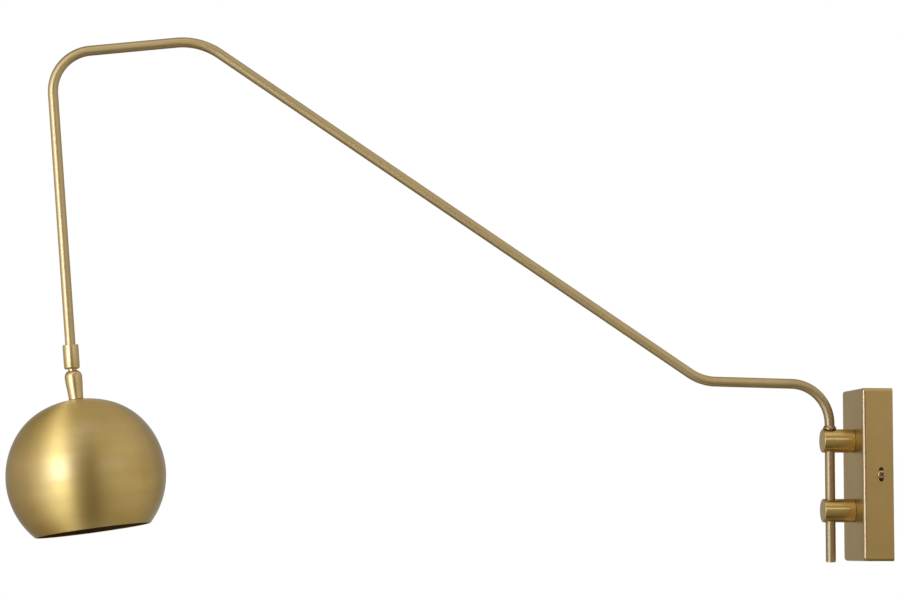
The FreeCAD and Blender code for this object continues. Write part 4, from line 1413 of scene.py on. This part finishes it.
# %% Turn the neck
shoulder_radius, foot_radius, thread_floor = 8.5, 7.1, -24.5
taper_start, taper_end, taper_steps = -12.4, -crown_below, 24
shoulder_arc_points = tangent_arc((shoulder_radius, taper_start), (5.4, waist_foot), 16)
neck_outline = list(reversed(shoulder_arc_points))
for step in range(1, taper_steps):
    share = step / taper_steps
    eased = share * share * (3 - 2 * share)
    radius = shoulder_radius + (foot_radius - shoulder_radius) * eased
    neck_outline.append((radius, taper_start + (taper_end - taper_start) * share, 0))
neck_outline += [
    (foot_radius, -crown_below, 0.2), (nipple_hole, -crown_below, 0),
    (nipple_hole, thread_floor, 0), (nipple_bore, thread_floor, 0), (nipple_bore, stud_foot, 0),
    (waist_radius, stud_foot, 0), (waist_radius, waist_foot, 0.1),
]
lathe(
    "turned_neck", neck_outline, "shade", "satin_brass", neck_brass, "shade_neck", pivot_place
)

# %% [markdown]
# ## Ball shade
#
# The shade is spun from sheet over a former, which leaves fine lines round it. Its meridian is
# three arcs with common tangents: a flattened crown, a shoulder and the ball. The rim is the
# sheet's cut edge, dressed round. The outside is satin brass. The inside is duller, and its
# darker colour is painted shade.

# %% Spin the shade
shade_radius = 77.4
shade_wall = 1.2
crown_height = 75.0
crown_radius = 90.0
shoulder_arc = 68.0
rim_depth = 53.5
crown_seat = 8.6
shade_hole = 5.2

crown_z = crown_height - crown_radius
to_ball = shade_radius - shoulder_arc
to_crown = crown_radius - shoulder_arc
shoulder_z = (to_crown ** 2 - to_ball ** 2 - crown_z ** 2) / (-2 * crown_z)
shoulder_r = math.sqrt(to_ball ** 2 - shoulder_z ** 2)
crown_angle = math.atan2(shoulder_r, shoulder_z - crown_z)
ball_angle = math.atan2(shoulder_r, shoulder_z)


def meridian(inset):
    """Points of the shade's outline from the flat seat at the crown to the rim, moved inwards."""
    seat_angle = math.asin(crown_seat / (crown_radius - inset))
    rim_angle = math.acos(-rim_depth / (shade_radius - inset))
    arcs = [
        ((0, crown_z), crown_radius - inset, seat_angle, crown_angle, 10),
        ((shoulder_r, shoulder_z), shoulder_arc - inset, crown_angle, ball_angle, 14),
        ((0, 0), shade_radius - inset, ball_angle, rim_angle, 44),
    ]
    points = []
    for centre, radius, start, end, count in arcs:
        for step in range(0 if not points else 1, count + 1):
            angle = start + (end - start) * step / count
            across, up = radius * math.sin(angle), radius * math.cos(angle)
            points.append((centre[0] + across, centre[1] + up))
    return points


outside = meridian(0)
inside = meridian(shade_wall)
shell_corners = [(shade_hole, outside[0][1], 0)]
shell_corners += [(radius, height, 0) for radius, height in outside[:-1]]
shell_corners += [(*outside[-1], 0.45), (*inside[-1], 0.35)]
shell_corners += [(radius, height, 0) for radius, height in reversed(inside[:-1])]
shell_corners += [(shade_hole, inside[0][1], 0)]
shade_place = on_axis(shade_centre, shade_up)
shade = lathe(
    "spun_shade", shell_corners, "shade", "satin_brass", spun_brass, "shade_shell", shade_place,
    224, 5,
)
# The inward faces get the darker brass: painted shade inside the ball shade.
shade.data.materials.append(inside_brass_painted_shade)
middle_radius = (shade_radius - shade_wall / 2) * MM
below_seat = outside[0][1] * MM - 0.0005
for face in shade.data.polygons:
    inward = face.normal.dot(face.center) < 0
    if inward and face.center.length < middle_radius and face.center.z < below_seat:
        face.material_index = 1
print("shade faces inside", sum(face.material_index for face in shade.data.polygons))

# %% [markdown]
# ## Lamp holder and bulb
#
# Inside the shade hang the fixings, a two-part holder and a small globe bulb. The holder is a
# dark moulding with a fine joint line. The bulb's cap has the rounded thread that its sleeve
# matches.

# %% Build the holder
inside_crown = inside[0][1]
holder_top = inside_crown - washer_thickness - nut_thickness
cap_length = 14.0
holder_joint = holder_top - cap_length


def at_height(height):
    """Placement on the shade's axis at a height above its centre."""
    return on_axis(shade_centre + shade_up * height * MM, shade_up)


nipple_top = shade_centre_below - crown_below + 10.0
nipple_bottom = holder_top - 6.0
shade_nipple = threaded_sleeve(
    nipple_radius, nipple_bore, nipple_top - nipple_bottom, nipple_pitch, nipple_groove
)
piece(
    "nipple_shade", shade_nipple, "shade", zinc, ["shade_nipple"],
    matrix=at_height(nipple_bottom),
)
small_washer = [
    (nipple_hole, -washer_thickness, 0.1), (8.3, -washer_thickness, 0.25), (8.3, 0, 0.1),
    (nipple_hole, 0, 0.1),
]
lathe(
    "washer_shade", small_washer, "shade", "zinc_steel", zinc, "shade_washer",
    at_height(inside_crown), 96, 2,
)
piece(
    "nut_shade", hex_piece(nut_width, nut_thickness, nipple_hole), "shade",
    bare_brass, ["shade_nut"], matrix=at_height(holder_top), sharp=20,
)
holder_radius = 19.5
cap_outline = [
    (nipple_hole, 0, 0.2), (11.0, 0, 1.2), (holder_radius, -9.0, 2.0),
    (holder_radius, -13.75, 0.3), (18.9, -cap_length, 0), (17.9, -cap_length, 0),
    (17.9, -10.6, 0.5), (9.4, -6.0, 0.5), (nipple_hole, -6.0, 0),
]
lathe(
    "holder_dome", cap_outline, "shade", "black_plastic", black_plastic, "holder_cap",
    at_height(holder_top),
)
holder_length = 30.0
body_outline = [
    (16.55, 0, 0), (18.9, 0, 0), (holder_radius, -0.3, 0.2), (holder_radius, -22.0, 0.3),
    (19.0, -22.6, 0.2), (holder_radius, -23.2, 0.3), (holder_radius, -holder_length, 0.8),
    (14.25, -holder_length, 0.6), (14.25, -5.0, 0), (16.55, -5.0, 0),
]
lathe(
    "holder_sleeve", body_outline, "shade", "black_plastic", black_plastic, "holder_body",
    at_height(holder_joint),
)

# %% Thread the bulb's sleeve and cap
edison_pitch = 3.6


def rolled_wall(outer, inner, low, high, depth, pitch, segments=96):
    """Thin sleeve whose both walls follow one rolled thread, open at both ends."""
    rows = round((high - low) / pitch * 10)
    rings = []
    for wall in (outer, inner):
        heights = [low + (high - low) * row / rows for row in range(rows + 1)]
        if wall == inner:
            heights.reverse()
        for height in heights:
            fade = min(1.0, (height - low) / pitch, (high - height) / pitch)
            rings.append(thread_ring(wall, depth, pitch, height, fade))
    return ring_mesh(rings, segments)


sleeve_top = holder_joint - 5.0
sleeve = rolled_wall(14.2, 13.7, -22.0, 0.0, 0.45, edison_pitch)
piece(
    "threaded_sleeve", sleeve, "shade", nickel, ["screw_shell"],
    matrix=at_height(sleeve_top),
)

bulb_tip = sleeve_top - 2.0
bulb_foot = -24.0
thread_top = -3.0
cap_tip = ((0, 0), (4.0, 0), (4.5, -0.4), (4.5, -1.0), (7.0, -1.7), (12.2, -2.9))
cap_rings = [constant_ring(*point) for point in cap_tip]
rows = 60
for row in range(rows + 1):
    height = thread_top - 21.0 * row / rows
    fade = min(1.0, (thread_top - height) / edison_pitch, (height - bulb_foot) / edison_pitch)
    cap_rings.append(thread_ring(13.0, 0.9, edison_pitch, height, fade))
cap_rings += [constant_ring(12.4, bulb_foot), constant_ring(11.6, -4.0), constant_ring(0, -3.8)]
piece(
    "bulb_screw_cap", ring_mesh(cap_rings, 96, closed=False), "shade", nickel,
    ["bulb_cap"], matrix=at_height(bulb_tip),
)

# %% Blow the bulb
globe_radius = 22.5
globe_wall = 0.8
bulb_below_holder = 53.0
globe_centre = holder_joint - holder_length - bulb_below_holder + globe_radius
glass_neck_end = bulb_tip + bulb_foot + 9.0


def glass_profile(inset):
    """Neck and globe from the neck's open end to the bottom pole, blended by a smooth throat."""
    radius = globe_radius - inset
    neck = 12.0 - inset
    start_angle = math.asin(neck / radius)
    points = [(neck, glass_neck_end - globe_centre, 0)]
    points.append((neck, radius * math.cos(start_angle), 4.0))
    for step in range(3, 40):
        angle = start_angle + (math.pi - start_angle) * step / 40
        points.append((radius * math.sin(angle), radius * math.cos(angle), 0))
    points.append((0, -radius, 0))
    return points


glass_outline = glass_profile(0) + list(reversed(glass_profile(globe_wall)))
lathe(
    "bulb_globe", glass_outline, "shade", "frosted_glass", frosted_glass, "bulb_glass",
    at_height(globe_centre), 128, 6,
)

# %% [markdown]
# ## CAD pieces that keep their shape
#
# The leads, the slotted terminal screws, the insulating disc and the contact tongue are right as
# the CAD model has them. They get their own materials.

# %% Dress the kept pieces
kept = {
    "canopy_lead": lead_cover,
    "arm_lead": lead_cover,
    "shade_lead": lead_cover,
    "terminal_screws": zinc,
    "holder_base": ceramic,
    "centre_contact": bare_brass,
}
for node, material in kept.items():
    thing = frame["nodes"][node]
    for place in thing.material_slots:
        place.material = material
    print(node, "dressed in", material.name)
